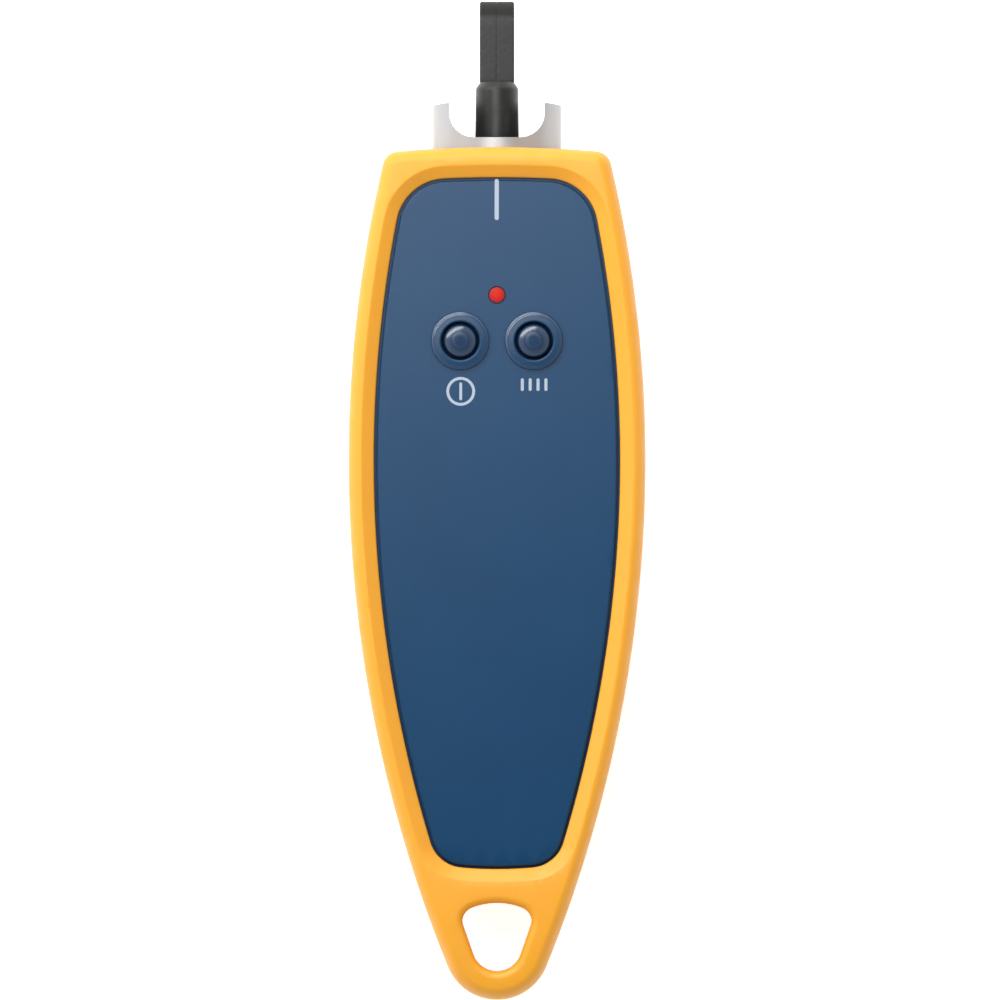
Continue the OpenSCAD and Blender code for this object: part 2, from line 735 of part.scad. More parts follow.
module driver_chip() {
    color([0.08, 0.08, 0.08]) translate([0, chip_y, board_top_z]) {
        translate([-chip_size[0] / 2, -chip_size[1] / 2, 0]) cube(chip_size);
        for (s = [-1, 1], i = [0:chip_leg_n - 1])
            translate([s * (chip_size[0] + chip_leg[0]) / 2 - chip_leg[0] / 2,
                ((i + 0.5) / chip_leg_n - 0.5) * chip_size[1] - chip_leg[1] / 2, 0]) cube(chip_leg);
    }
}

module power_inductor() {
    color([0.3, 0.3, 0.3]) translate([inductor_at[0], inductor_at[1], board_top_z]) rotate_extrude()
        polygon([[0, 0], [inductor_r, 0], [inductor_r, inductor_h / 4], [inductor_waist_r, inductor_h / 4],
            [inductor_waist_r, inductor_h * 3 / 4], [inductor_r, inductor_h * 3 / 4], [inductor_r, inductor_h],
            [0, inductor_h]]);
}

module board_capacitors() {
    color([0.7, 0.6, 0.45]) for (i = [0:capacitor_n - 1])
        translate([capacitor_at[0], capacitor_at[1] + i * capacitor_pitch, board_top_z]) cube(capacitor);
}

// A pan head's top and edge as shares of its radius and height, and its cross slot's length, width and depth
head_shares = [0.8, 0.6];
slot_shares = [1.2, 0.24, 0.45];

// A pan-head screw whose head sits below z = 0 and whose shank rises from it
module screw(r, len, head_r, head_h) {
    slot = [slot_shares[0] * head_r, slot_shares[1] * head_r, slot_shares[2] * head_h + eps];
    difference() {
        rotate_extrude() polygon([[0, -head_h], [head_shares[0] * head_r, -head_h],
            [head_r, -head_shares[1] * head_h], [head_r, 0], [r, 0], [r, len - r], [r / 2, len], [0, len]]);
        for (a = [0, 90]) rotate([0, 0, a]) translate([-slot[0] / 2, -slot[1] / 2, -head_h - eps]) cube(slot);
    }
}

module board_screws() {
    color("silver") for (s = [-1, 1]) translate([s * post_at[0], post_at[1], board_z])
        screw(board_screw_r, board_screw_len, board_head_r, board_head_h);
}

module cover_screws() {
    color("silver") for (s = [-1, 1], b = [boss_top, boss_low]) translate([s * b[0], b[1], screw_seat_z])
        screw(screw_r, screw_len, screw_head_r, screw_head_h);
}

// A cell about its own axis, its flat end at 0 and its stud at cell_len
module cell() {
    lip = cell_lip;
    top = cell_len - stud_h;
    rotate([-90, 0, 0]) rotate_extrude() polygon([[0, 0], [cell_r - 2 * lip, 0], [cell_r - 2 * lip, lip / 2],
        [cell_r - lip / 2, lip / 2], [cell_r, lip], [cell_r, top - lip], [cell_r - lip / 2, top],
        [stud_r, top], [stud_r, cell_len], [0, cell_len]]);
}

module battery_left() {
    color([0.2, 0.2, 0.2]) translate([-cell_x, bay_top - plate_t - cell_len, cell_z]) cell();
}

module battery_right() {
    color([0.2, 0.2, 0.2]) translate([cell_x, bay_low + plate_t + cell_len, cell_z]) rotate([0, 0, 180]) cell();
}

module contact_plate(high) {
    translate([-plate_half, 0, cell_z + plate_low]) cube([2 * plate_half, plate_t, plate_high - plate_low]);
    translate([-tab_half, 0, cell_z]) cube([2 * tab_half, plate_t, high - cell_z]);
}

module positive_contact() {
    color("silver") translate([-cell_x, bay_top - plate_t, 0]) contact_plate(board_top_z + plate_t);
}

module negative_contact() {
    color("silver") translate([cell_x, bay_top - plate_t, 0]) contact_plate(board_top_z + plate_t);
}

module link_plate() {
    color("silver") translate([-cell_x - plate_half, bay_low, cell_z + plate_low])
        cube([2 * (cell_x + plate_half), plate_t, plate_high - plate_low]);
}

// One conical spring at its compressed length, standing on y = 0
module spring_cone() {
    rotate([-90, 0, 0]) cylinder(r1 = spring_big_r, r2 = spring_small_r, h = spring_h);
}

module contact_springs() {
    color([0.75, 0.75, 0.75]) {
        translate([-cell_x, bay_low + plate_t, cell_z]) spring_cone();
        translate([cell_x, bay_top - plate_t, cell_z]) rotate([0, 0, 180]) spring_cone();
    }
}

// Guard collar: a flanged cup with a cut between its two wings
module port_collar() {
    inner = collar_r - collar_wall;
    top = boot_top + wing_h;
    cut_low = collar_floor_y + collar_floor_t + cut_floor_h;
    color([0.85, 0.84, 0.82]) difference() {
        about_port([[0, collar_floor_y], [inner, collar_floor_y], [inner, flange_y], [flange_r, flange_y],
            [flange_r, flange_y + flange_t], [collar_r, flange_y + flange_t], [collar_r, top - slip],
            [collar_r - slip, top], [inner + slip, top], [inner, top - slip], [inner, collar_floor_y + collar_floor_t],
            [0, collar_floor_y + collar_floor_t]]);
        along_y(neck_r + run_fit, collar_floor_y - eps, top);
        translate([0, 0, mid_z - flange_r]) linear_extrude(2 * flange_r) wing_cut(cut_low, top);
    }
}

// Outline of the cut: straight sides, two round lower corners and the bow over the tops of the wings
module wing_cut(low, top) {
    inner_turn = asin(cut_half / wing_bow_r);
    outer_turn = asin(flange_r / wing_bow_r);
    bow_c = [0, top - wing_bow_r * cos(inner_turn)];
    polygon(with_mirror(concat(
        [[0, low]],
        arc([cut_half - cut_r, low + cut_r], cut_r, 270, 360, corner_n),
        [[cut_half, low + cut_r]],
        arc(bow_c, wing_bow_r, 90 - inner_turn, 90 - outer_turn, corner_n),
        [[flange_r, top + eps], [0, top + eps]])));
}

sleeve_r = ferrule_d / 2 + sleeve_wall;
neck_top = collar_floor_y + collar_floor_t + slip + ring_t;
adapter_y = neck_top + run_fit;
adapter_top = adapter_y + adapter_len;
sleeve_y = adapter_top - 2 * fit - sleeve_len;
diode_r = 2.8;
can_r = 1.8;
can_h = 2.5;
diode_t = 1.2;
diode_inset = 0.5;
lens_r = 2;
diode_y = barrel_low + diode_inset;
lens_y = 36;
lens_edge = 0.8;
lens_bulge = 0.4;
barrel_chamfer = 0.4;
adapter_chamfer = 0.3;
sleeve_chamfer = 0.1;

// Light module: a barrel with a stepped bore, and the neck that carries the adapter
module laser_housing() {
    shoulder = collar_floor_y - run_fit;
    color([0.72, 0.60, 0.32]) about_port([[diode_r + slip, barrel_low], [barrel_r - barrel_chamfer, barrel_low],
        [barrel_r, barrel_low + barrel_chamfer], [barrel_r, shoulder], [neck_r, shoulder], [neck_r, neck_top],
        [sleeve_r + seat, neck_top], [sleeve_r + seat, sleeve_y], [aperture_r, sleeve_y],
        [aperture_r, lens_y + lens_edge + 2 * lens_bulge], [lens_r + slip, lens_y + lens_edge + 2 * lens_bulge],
        [lens_r + slip, diode_y + diode_t + slip], [diode_r + slip, diode_y + diode_t + slip]]);
}

module laser_diode() {
    color("gold") about_port([[0, diode_y], [diode_r, diode_y], [diode_r, diode_y + diode_t],
        [can_r, diode_y + diode_t], [can_r, diode_y + diode_t + can_h], [0, diode_y + diode_t + can_h]]);
}

lead_r = 0.225;
lead_pitch = 1.27;
lead_y = 28.6;

// Three legs that bend from the diode up into the board
module diode_leads() {
    color("silver") for (i = [-1:1]) {
        along_y(lead_r, lead_y, diode_y, i * lead_pitch);
        translate([i * lead_pitch, lead_y, mid_z]) sphere(r = lead_r, $fn = 24);
        translate([i * lead_pitch, lead_y, mid_z]) cylinder(r = lead_r, h = board_top_z + plate_t - mid_z);
    }
}

// Double convex lens whose faces are arcs, worked out from its radius and bulge
module collimating_lens() {
    face_r = (lens_r * lens_r + lens_bulge * lens_bulge) / (2 * lens_bulge);
    half_angle = asin(lens_r / face_r);
    low_c = [0, lens_y + face_r - lens_bulge];
    high_c = [0, lens_y + lens_edge + lens_bulge - face_r];
    color([0.8, 0.9, 1]) about_port(concat(arc(low_c, face_r, 270, 270 + half_angle, corner_n),
        [[lens_r, lens_y]], arc(high_c, face_r, 90 - half_angle, 90, corner_n),
        [[0, lens_y + lens_edge + lens_bulge]]));
}

module alignment_sleeve() {
    bore = ferrule_d / 2;
    top = sleeve_y + sleeve_len;
    color("white") about_port([[bore, sleeve_y], [sleeve_r, sleeve_y], [sleeve_r, top],
        [bore + sleeve_chamfer, top], [bore, top - sleeve_chamfer]]);
}

module universal_adapter() {
    chamfer = adapter_chamfer;
    color([0.8, 0.8, 0.78]) about_port([[sleeve_r + seat, adapter_y], [adapter_flange_r - chamfer, adapter_y],
        [adapter_flange_r - chamfer, adapter_y + adapter_flange_t], [adapter_r, adapter_y + adapter_flange_t],
        [adapter_r, adapter_top - chamfer], [adapter_r - chamfer, adapter_top], [sleeve_r + chamfer, adapter_top],
        [sleeve_r + seat, adapter_top - chamfer + seat]]);
}

cap_y = adapter_y + adapter_flange_t + run_fit;
cap_top = cap_y + cap_len;
cap_shoulder_h = 1.1;
cap_roof = 1.8;
cap_lip = 0.25;
bend_y = strap_top - strap_bend_r - strap_t / 2;
back_leg_z = mid_z - 2 * strap_bend_r;
ring_y = collar_floor_y + collar_floor_t;

// Soft cap: a cup that grips the adapter, with a sloping shoulder
module dust_cap() {
    color([0.16, 0.16, 0.15]) about_port([[adapter_r + slip, cap_y], [cap_r - cap_lip, cap_y],
        [cap_r, cap_y + cap_lip], [cap_r, cap_top - cap_shoulder_h], [strap_w / 2 - cap_lip, cap_top],
        [0, cap_top], [0, cap_top - cap_roof], [adapter_r + slip, cap_top - cap_roof]]);
}

// Flat strap: up from the cap, over a half-round bend and down behind it to the ring's tab
module cap_strap() {
    color([0.26, 0.26, 0.26]) {
        translate([-strap_w / 2, cap_top, mid_z - strap_t / 2]) cube([strap_w, bend_y - cap_top, strap_t]);
        intersection() {
            translate([-strap_w / 2, bend_y, mid_z - strap_bend_r]) rotate([0, 90, 0]) difference() {
                cylinder(r = strap_bend_r + strap_t / 2, h = strap_w);
                translate([0, 0, -eps]) cylinder(r = strap_bend_r - strap_t / 2, h = strap_w + 2 * eps);
            }
            translate([-strap_w, bend_y, 0]) cube([2 * strap_w, strap_top, boot_t]);
        }
        translate([-strap_w / 2, ring_y + ring_t, back_leg_z - strap_t / 2])
            cube([strap_w, bend_y - ring_y - ring_t, strap_t]);
    }
}

// Ring that holds the strap under the adapter, with the tab that the strap rises from
module strap_ring() {
    color([0.26, 0.26, 0.26]) difference() {
        union() {
            along_y(ring_r, ring_y, ring_y + ring_t);
            translate([-strap_w / 2, ring_y, back_leg_z - strap_t / 2])
                cube([strap_w, ring_t, 2 * strap_bend_r]);
        }
        along_y(neck_r + run_fit, ring_y - eps, ring_y + ring_t + eps);
    }
}

rubber_boot();
front_cover();
rear_cover();
battery_door();
power_button();
flash_button();
power_plunger();
flash_plunger();
power_switch();
flash_switch();
status_led();
led_lens();
circuit_board();
driver_chip();
power_inductor();
board_capacitors();
board_screws();
cover_screws();
battery_left();
battery_right();
positive_contact();
negative_contact();
link_plate();
contact_springs();
port_collar();
laser_housing();
laser_diode();
diode_leads();
collimating_lens();
alignment_sleeve();
universal_adapter();
dust_cap();
cap_strap();
strap_ring();
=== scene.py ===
# %% [markdown]
# # A hand-held visual fault locator
#
# The real object is a small red light source for tracing optical fibre: a blue two-part case in a
# yellow rubber boot, with a light port under a black cap at one end and a lanyard eye at the other.
# It lies on its back, with +Y running to the light port and +Z leaving the front face.
#
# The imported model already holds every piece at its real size. This lesson dresses it: it works out
# finer surfaces for what shows and gives each surface its finish, and never moves or resizes a piece.

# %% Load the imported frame
import json
import math

import bmesh
import bpy
import numpy as np
from mathutils.geometry import delaunay_2d_cdt
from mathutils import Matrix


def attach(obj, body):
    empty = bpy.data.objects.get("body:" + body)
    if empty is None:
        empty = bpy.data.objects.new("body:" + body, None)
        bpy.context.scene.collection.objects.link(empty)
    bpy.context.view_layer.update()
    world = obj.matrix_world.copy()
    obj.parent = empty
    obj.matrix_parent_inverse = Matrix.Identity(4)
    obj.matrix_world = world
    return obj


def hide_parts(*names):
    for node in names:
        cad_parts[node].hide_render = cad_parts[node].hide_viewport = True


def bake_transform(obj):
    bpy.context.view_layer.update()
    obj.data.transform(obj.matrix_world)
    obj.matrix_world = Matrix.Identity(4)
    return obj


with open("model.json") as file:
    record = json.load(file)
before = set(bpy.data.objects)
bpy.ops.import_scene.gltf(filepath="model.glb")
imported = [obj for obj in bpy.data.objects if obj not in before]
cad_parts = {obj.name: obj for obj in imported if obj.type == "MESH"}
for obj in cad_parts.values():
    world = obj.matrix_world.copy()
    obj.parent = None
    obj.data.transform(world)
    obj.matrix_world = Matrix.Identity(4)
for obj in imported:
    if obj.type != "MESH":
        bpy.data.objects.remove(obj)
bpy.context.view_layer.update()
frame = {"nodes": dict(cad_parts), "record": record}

MM = 0.001
nodes = frame["nodes"]
print("pieces in the frame:", len(nodes))

# %% [markdown]
# ## Putting a surface into a mesh
#
# Each new piece is a set of points on a grid, worked out in millimetres as whole arrays. A grid is
# joined into four-sided faces by counting, and `from_pydata` puts it into a mesh. Parts of one piece
# share their border points, so merging doubles closes it, and only then are its normals worked out.

# %% From arrays to a piece
def grid_faces(rows, cols):
    """Four-sided faces of closed rows, where point (i, j) has the number i * cols + j."""
    i, j = (a.ravel() for a in np.meshgrid(np.arange(rows - 1), np.arange(cols), indexing="ij"))
    low, up, right = i * cols, (i + 1) * cols, (j + 1) % cols
    return np.column_stack([low + j, low + right, up + right, up + j]).tolist()


def lofted(rings):
    """Points and faces of closed rows of points, all of one length, joined in order."""
    return np.vstack(rings), grid_faces(len(rings), len(rings[0]))


def capped(rings, centres):
    """The same, with each end closed by triangles from its row to a centre point."""
    points, faces = lofted(rings)
    count, cols = len(points), len(rings[0])
    j = np.arange(cols)
    for first, centre in ((0, count), (count - cols, count + 1)):
        faces += np.column_stack([first + j, first + (j + 1) % cols, np.full(cols, centre)]).tolist()
    return np.vstack([points, centres]), faces


def together(surfaces):
    """Several surfaces, each its points and faces, as one, with the numbers in each face moved on."""
    points, faces, count = [], [], 0
    for new_points, new_faces in surfaces:
        faces += [[count + k for k in face] for face in new_faces]
        points.append(new_points)
        count += len(new_points)
    return np.vstack(points), faces


def make_mesh(name, points_mm, faces, sharp_deg=40.0, merge_mm=0.002):
    """A closed mesh in metres: doubles merged, normals outwards, crisp over edges sharper than sharp_deg."""
    mesh = bpy.data.meshes.new(name)
    mesh.from_pydata((np.asarray(points_mm) * MM).tolist(), [], faces)
    bm = bmesh.new()
    bm.from_mesh(mesh)
    bmesh.ops.remove_doubles(bm, verts=bm.verts, dist=merge_mm * MM)
    bmesh.ops.recalc_face_normals(bm, faces=bm.faces)
    bm.to_mesh(mesh)
    bm.free()
    crisp(mesh, sharp_deg)
    return mesh


def crisp(mesh, sharp_deg):
    """Smooth shading everywhere but across edges sharper than sharp_deg."""
    mesh.polygons.foreach_set("use_smooth", np.ones(len(mesh.polygons), dtype=bool))
    mesh.set_sharp_from_angle(angle=math.radians(sharp_deg))
    mesh.update()


def spots_of(mesh):
    """The places of a mesh's vertices, in millimetres."""
    return np.array([v.co[:] for v in mesh.vertices]) / MM


def paint(mesh, key, share):
    """Stores a value from 0 to 1 at each vertex, which a finish can read by its name."""
    mesh.attributes.new(key, "FLOAT", "POINT").data.foreach_set("value", np.asarray(share, np.float32))


# %% Placing a piece, and working its modifiers in
def placed(name, data):
    """A new object in the scene that holds this data."""
    made = bpy.data.objects.new(name, data)
    bpy.context.scene.collection.objects.link(made)
    return made


def make_piece(mesh, body, slot, node_name=None, finish=None):
    """Puts a mesh into the scene on a body, in its slot's finish or another, and for a CAD node if named."""
    piece = placed(mesh.name, mesh)
    mesh.materials.clear()
    mesh.materials.append(finishes[finish or slot])
    if body:
        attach(piece, body)
    if node_name:
        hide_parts(node_name)
    print(mesh.name, "has", len(mesh.polygons), "faces")
    return piece


def applied(piece):
    """The piece with its modifiers worked into its mesh, so that none is left live."""
    graph = bpy.context.evaluated_depsgraph_get()
    done = bpy.data.meshes.new_from_object(piece.evaluated_get(graph))
    piece.modifiers.clear()
    old = piece.data
    piece.data = done
    bpy.data.meshes.remove(old)
    return piece


def flat_true(piece):
    """Weights each corner's normal by face area, so that large flats shade flat up to a round edge."""
    even = piece.modifiers.new("area_normals", "WEIGHTED_NORMAL")
    even.keep_sharp = True
    even.weight = 100
    return applied(piece)


def boolean(piece, surface, operation):
    """Joins a closed surface to a piece, or cuts it away, with the exact Boolean."""
    tool = placed("tool", make_mesh("tool", *surface))
    step = piece.modifiers.new("step", "BOOLEAN")
    step.operation, step.solver, step.object = operation, "EXACT", tool
    applied(piece)
    bpy.data.objects.remove(tool)

# %% [markdown]
# ## Camera and light
#
# The photograph looks straight down on the object from far away, so the camera hangs 5 m above it
# with a very long lens, and one pixel is 0.1465 mm. Its light is a white tent, with a soft box near the
# port end whose reflection fades along the panel, and a long strip light to the upper left, which the
# boot's top rim and the keys' shoulders catch. Here the world is the tent: bright at its walls, most
# of all on the strip light's side, and dim overhead, which the flat panel reflects.

# %% Camera
PIXEL_MM = 0.1465
IMAGE_PX = 1000
BODY_LINE_PX = 497.0
WIDEST_PX = 460.0
CAMERA_HEIGHT = 5.0
SENSOR_MM = 36.0
VIEW_LEVEL_MM = 14.0

camera_data = bpy.data.cameras.new("camera")
camera_data.sensor_width = SENSOR_MM
camera_data.lens = SENSOR_MM * CAMERA_HEIGHT / (IMAGE_PX * PIXEL_MM * MM)
camera_data.clip_start = 0.05
camera = placed("camera", camera_data)
camera.location = ((IMAGE_PX / 2 - BODY_LINE_PX) * PIXEL_MM * MM,
                   (WIDEST_PX - IMAGE_PX / 2) * PIXEL_MM * MM, CAMERA_HEIGHT + VIEW_LEVEL_MM * MM)
bpy.context.scene.camera = camera
bpy.context.scene.view_settings.view_transform = "Standard"
print("lens", round(camera_data.lens, 1), "mm")


# %% Lamps and world
def lamp(name, place, wide, high, power):
    """A lamp of wide x high metres at place, turned to face the object, with its width level."""
    data = bpy.data.lights.new(name, "AREA")
    data.shape = "RECTANGLE"
    data.size, data.size_y, data.energy = wide, high, power
    made = placed(name, data)
    made.location = place
    x, y, z = place
    made.rotation_euler = (math.atan2(math.hypot(x, y), z), 0.0, math.atan2(x, -y))


def ranged(tree, value, low, high, at_low, at_high):
    """Runs from at_low to at_high while value runs from low to high, and is held outside that range."""
    made = tree.nodes.new("ShaderNodeMapRange")
    for key, number in (("From Min", low), ("From Max", high), ("To Min", at_low), ("To Max", at_high)):
        made.inputs[key].default_value = number
    tree.links.new(value, made.inputs["Value"])
    return made.outputs["Result"]


OVER_AT, OVER_SIDE, OVER_WATTS = (-0.05, 0.11, 0.36), 0.2, 0.6
STRIP_AT, STRIP_WIDE, STRIP_HIGH, STRIP_WATTS = (-0.24, 0.39, 0.34), 0.8, 0.07, 1.8
# The tent's strength is the product of two falls: up from its walls, and across from its bright side
TENT_WALL, TENT_TOP, WALL_TOP = 1.0, 0.1, 0.3
TENT_SIDE, TENT_NEAR, TENT_FAR = (-0.56, 0.83, 0.0), 1.25, 0.7
FALLS = (((0.0, 0.0, 1.0), WALL_TOP, TENT_WALL, TENT_TOP), (TENT_SIDE, -1.0, TENT_FAR, TENT_NEAR))

lamp("soft_box", OVER_AT, OVER_SIDE, OVER_SIDE, OVER_WATTS)
lamp("strip_light", STRIP_AT, STRIP_WIDE, STRIP_HIGH, STRIP_WATTS)
world = bpy.data.worlds.new("tent")
world.use_nodes = True
tent = world.node_tree
facing = tent.nodes.new("ShaderNodeTexCoord").outputs["Generated"]
strength = tent.nodes.new("ShaderNodeMath")
strength.operation = "MULTIPLY"
for k, (side, low, at_low, at_high) in enumerate(FALLS):
    toward = tent.nodes.new("ShaderNodeVectorMath")
    toward.operation = "DOT_PRODUCT"
    toward.inputs[1].default_value = side
    tent.links.new(facing, toward.inputs[0])
    tent.links.new(ranged(tent, toward.outputs["Value"], low, 1.0, at_low, at_high), strength.inputs[k])
tent.links.new(strength.outputs["Value"], tent.nodes["Background"].inputs["Strength"])
tent.nodes["Background"].inputs["Color"].default_value = (1.0, 1.0, 1.0, 1.0)
bpy.context.scene.world = world

# %% [markdown]
# ## A small kit for materials
#
# Every finish is a Principled shader whose colour and height come from procedural noise in Object
# coordinates, so a grain keeps its real size in millimetres on every piece. Values that are the same
# all over a surface go straight onto the shader's own sockets.

# %% Material helpers
class Finish:
    """Builds one procedural material: a Principled shader with noise layers on colour and height."""

    def __init__(self, name, colour, roughness, **uniform):
        self.material = bpy.data.materials.new(name)
        self.material.use_nodes = True
        self.tree = self.material.node_tree
        self.shader = self.tree.nodes["Principled BSDF"]
        self.base = (*colour, 1.0)
        self.shader.inputs["Base Color"].default_value = self.base
        self.shader.inputs["Roughness"].default_value = roughness
        for socket, value in uniform.items():
            self.shader.inputs[socket.replace("_", " ")].default_value = value
        self.coords = self.tree.nodes.new("ShaderNodeTexCoord").outputs["Object"]
        self.height = None

    def node(self, kind, **inputs):
        """Adds a node and sets its named inputs to values or links."""
        made = self.tree.nodes.new(kind)
        for key, value in inputs.items():
            socket = made.inputs[key.replace("_", " ")]
            if isinstance(value, bpy.types.NodeSocket):
                self.tree.links.new(value, socket)
            else:
                socket.default_value = value
        return made

    def noise(self, size_mm, detail=2.0, stretch=(1.0, 1.0, 1.0)):
        """Noise from 0 to 1 whose features are about size_mm across, drawn out by stretch."""
        scaled = self.node("ShaderNodeMapping", Vector=self.coords, Scale=stretch)
        return self.node("ShaderNodeTexNoise", Vector=scaled.outputs["Vector"],
                         Scale=1.0 / (size_mm * MM), Detail=detail).outputs["Fac"]

    def spread(self, value, low, high, at_low=0.0, at_high=1.0):
        """Stretches value so that low..high becomes at_low..at_high, and holds it there."""
        return ranged(self.tree, value, low, high, at_low, at_high)

    def larger(self, first, second):
        """The larger of two values."""
        made = self.node("ShaderNodeMath")
        made.operation = "MAXIMUM"
        self.tree.links.new(first, made.inputs[0])
        self.tree.links.new(second, made.inputs[1])
        return made.outputs["Value"]

    def tint(self, share, colour, strength=1.0):
        """Mixes another colour into the base by share, a value from 0 to 1."""
        mix = self.tree.nodes.new("ShaderNodeMix")
        mix.data_type = "RGBA"
        self.tree.links.new(self.spread(share, 0.0, 1.0, 0.0, strength), mix.inputs[0])
        target = self.shader.inputs["Base Color"]
        if target.is_linked:
            self.tree.links.new(target.links[0].from_socket, mix.inputs[6])
        else:
            mix.inputs[6].default_value = self.base
        mix.inputs[7].default_value = (*colour, 1.0)
        self.tree.links.new(mix.outputs[2], target)
        return self

    def painted(self, name):
        """The value of a mesh attribute, 0 on pieces that don't have it."""
        made = self.node("ShaderNodeAttribute")
        made.attribute_name = name
        return made.outputs["Fac"]

    def distance(self, x_mm, y_mm, low_mm, high_mm):
        """0 within low_mm of an upright axis at x, y, rising to 1 at high_mm from it."""
        flat = self.node("ShaderNodeVectorMath", Vector=self.coords)
        flat.operation = "MULTIPLY"
        flat.inputs[1].default_value = (1.0, 1.0, 0.0)
        away = self.node("ShaderNodeVectorMath", Vector=flat.outputs["Vector"])
        away.operation = "DISTANCE"
        away.inputs[1].default_value = (x_mm * MM, y_mm * MM, 0.0)
        return self.spread(away.outputs["Value"], low_mm * MM, high_mm * MM)

    def along(self, low_mm, high_mm):
        """0 below low_mm along Y, rising to 1 at high_mm."""
        split = self.node("ShaderNodeSeparateXYZ", Vector=self.coords)
        return self.spread(split.outputs["Y"], low_mm * MM, high_mm * MM)

    def drive(self, socket, value, at_low, at_high, low=0.0, high=1.0):
        """Lets a socket of the shader run from at_low to at_high while value runs from low to high."""
        self.tree.links.new(self.spread(value, low, high, at_low, at_high), self.shader.inputs[socket])

    def rough(self, value, at_low, at_high):
        """Lets the roughness run from at_low to at_high over the middle half of value."""
        self.drive("Roughness", value, at_low, at_high, 0.25, 0.75)

    def bump(self, value, depth_mm):
        """Raises the surface by value times depth_mm, on top of the layers already there."""
        made = self.node("ShaderNodeBump", Height=value, Strength=1.0, Distance=depth_mm * MM)
        if self.height:
            self.tree.links.new(self.height, made.inputs["Normal"])
        self.height = made.outputs["Normal"]
        self.tree.links.new(self.height, self.shader.inputs["Normal"])
        return self


def srgb(r, g, b):
    """A colour read off a screen, 0 to 255, as the linear light that a shader works in."""
    c = np.array([r, g, b]) / 255.0
    return tuple(float(v) for v in np.where(c <= 0.04045, c / 12.92, ((c + 0.055) / 1.055) ** 2.4))


# %% [markdown]
# ## The finishes
#
# The boot is soft yellow rubber with a fine moulded grain; the covers are blue plastic with a spark
# texture that spreads every highlight; the collar is satin metal. Each is written once and shared by
# the pieces that are moulded or turned from it.

# %% Rubber and plastic finishes
KEY_MATT, KEY_GLOSSY, KEY_PAD_SHINE, KEY_SHINE = 0.5, 0.22, 0.2, 1.0
COVER_SHINE, COVER_EDGE_SHINE = 0.33, 0.9
STRAP_SHADE_FROM, STRAP_SHADE_FULL = 64.6, 65.4


def boot_rubber():
    """Yellow rubber with a fine grain, and two sizes of barely darker patches."""
    f = Finish("boot_rubber", srgb(254, 173, 10), 0.5, Specular_IOR_Level=0.9)
    f.tint(f.spread(f.noise(9.0, 3.0), 0.35, 0.75), srgb(252, 168, 8), 0.6)
    f.tint(f.spread(f.noise(1.1), 0.62, 0.85), srgb(246, 159, 8), 0.35)
    f.rough(f.noise(3.0, 3.0), 0.42, 0.58)
    return f.bump(f.noise(0.28), 0.012).bump(f.noise(2.2, 1.0), 0.010).material


def cover_plastic():
    """Blue plastic with a fine spark texture, smoother where polish is 1, shiny where edge_shine is 1."""
    f = Finish("cover_plastic", srgb(11, 64, 103), 0.31, Specular_IOR_Level=COVER_SHINE)
    f.tint(f.spread(f.noise(14.0, 3.0), 0.35, 0.7), srgb(9, 60, 98), 0.7)
    polish = f.painted("polish")
    f.tint(polish, srgb(20, 61, 96))
    f.rough(polish, 0.31, 0.27)
    f.drive("Specular IOR Level", f.painted("edge_shine"), COVER_SHINE, COVER_EDGE_SHINE)
    return f.bump(f.noise(0.16), 0.006).bump(f.noise(0.5, 1.0), 0.004).material


def key_rubber():
    """Blue rubber, glossy where the attribute gloss is 1 and matt on the fingertip's pad, where it is 0."""
    f = Finish("key_rubber", srgb(20, 53, 86), KEY_MATT)
    f.tint(f.spread(f.noise(1.2), 0.4, 0.8), srgb(16, 47, 78), 0.6)
    gloss = f.painted("gloss")
    f.rough(gloss, KEY_MATT, KEY_GLOSSY)
    f.drive("Specular IOR Level", gloss, KEY_PAD_SHINE, KEY_SHINE)
    return f.bump(f.noise(0.14), 0.003).material


def cap_rubber():
    """Black rubber, paler in small patches, as handling leaves it."""
    f = Finish("cap_rubber", srgb(31, 31, 29), 0.4, Specular_IOR_Level=0.5)
    f.tint(f.spread(f.noise(0.8, 3.0), 0.5, 0.85), srgb(46, 46, 43), 0.5)
    f.rough(f.noise(1.4), 0.34, 0.46)
    return f.bump(f.noise(0.14, 3.0), 0.008).material


def strap_rubber():
    """Matt dark rubber, with painted shade over the strap's bend, where its surface curves away from the
    light.
    """
    f = Finish("strap_rubber", srgb(64, 64, 64), 0.62, Specular_IOR_Level=0.2)
    f.tint(f.spread(f.noise(0.7, 3.0), 0.4, 0.8), srgb(76, 76, 76), 0.5)
    f.tint(f.spread(f.noise(0.25), 0.55, 0.75), srgb(50, 50, 50), 0.5)
    # painted shade: the strap is darkened over its bend, where its surface curves away from the light
    f.tint(f.along(STRAP_SHADE_FROM, STRAP_SHADE_FULL), srgb(34, 35, 30), 0.9)
    return f.bump(f.noise(0.16, 3.0), 0.012).material


def black_plastic():
    """Plain moulded black plastic with a fine grain."""
    f = Finish("black_plastic", srgb(24, 24, 25), 0.45)
    f.tint(f.spread(f.noise(0.5), 0.5, 0.9), srgb(44, 44, 46), 0.5)
    return f.bump(f.noise(0.1), 0.004).material


def mottled(name, colour, roughness, size_mm, other, strength, **uniform):
    """An even colour that drifts towards another over patches of size_mm."""
    f = Finish(name, colour, roughness, **uniform)
    return f.tint(f.noise(size_mm), other, strength).material


# %% Metal finishes
def collar_metal():
    """Satin metal, brushed along the port: both its grain and its gloss are drawn out along Y."""
    f = Finish("collar_metal", srgb(176, 180, 184), 0.34, Metallic=0.38)
    f.tint(f.noise(2.5), srgb(165, 169, 173), 0.5)
    f.rough(f.noise(0.6, 2.0, (1.0, 0.12, 1.0)), 0.3, 0.42)
    return f.bump(f.noise(0.12, 2.0, (1.0, 0.1, 1.0)), 0.003).material


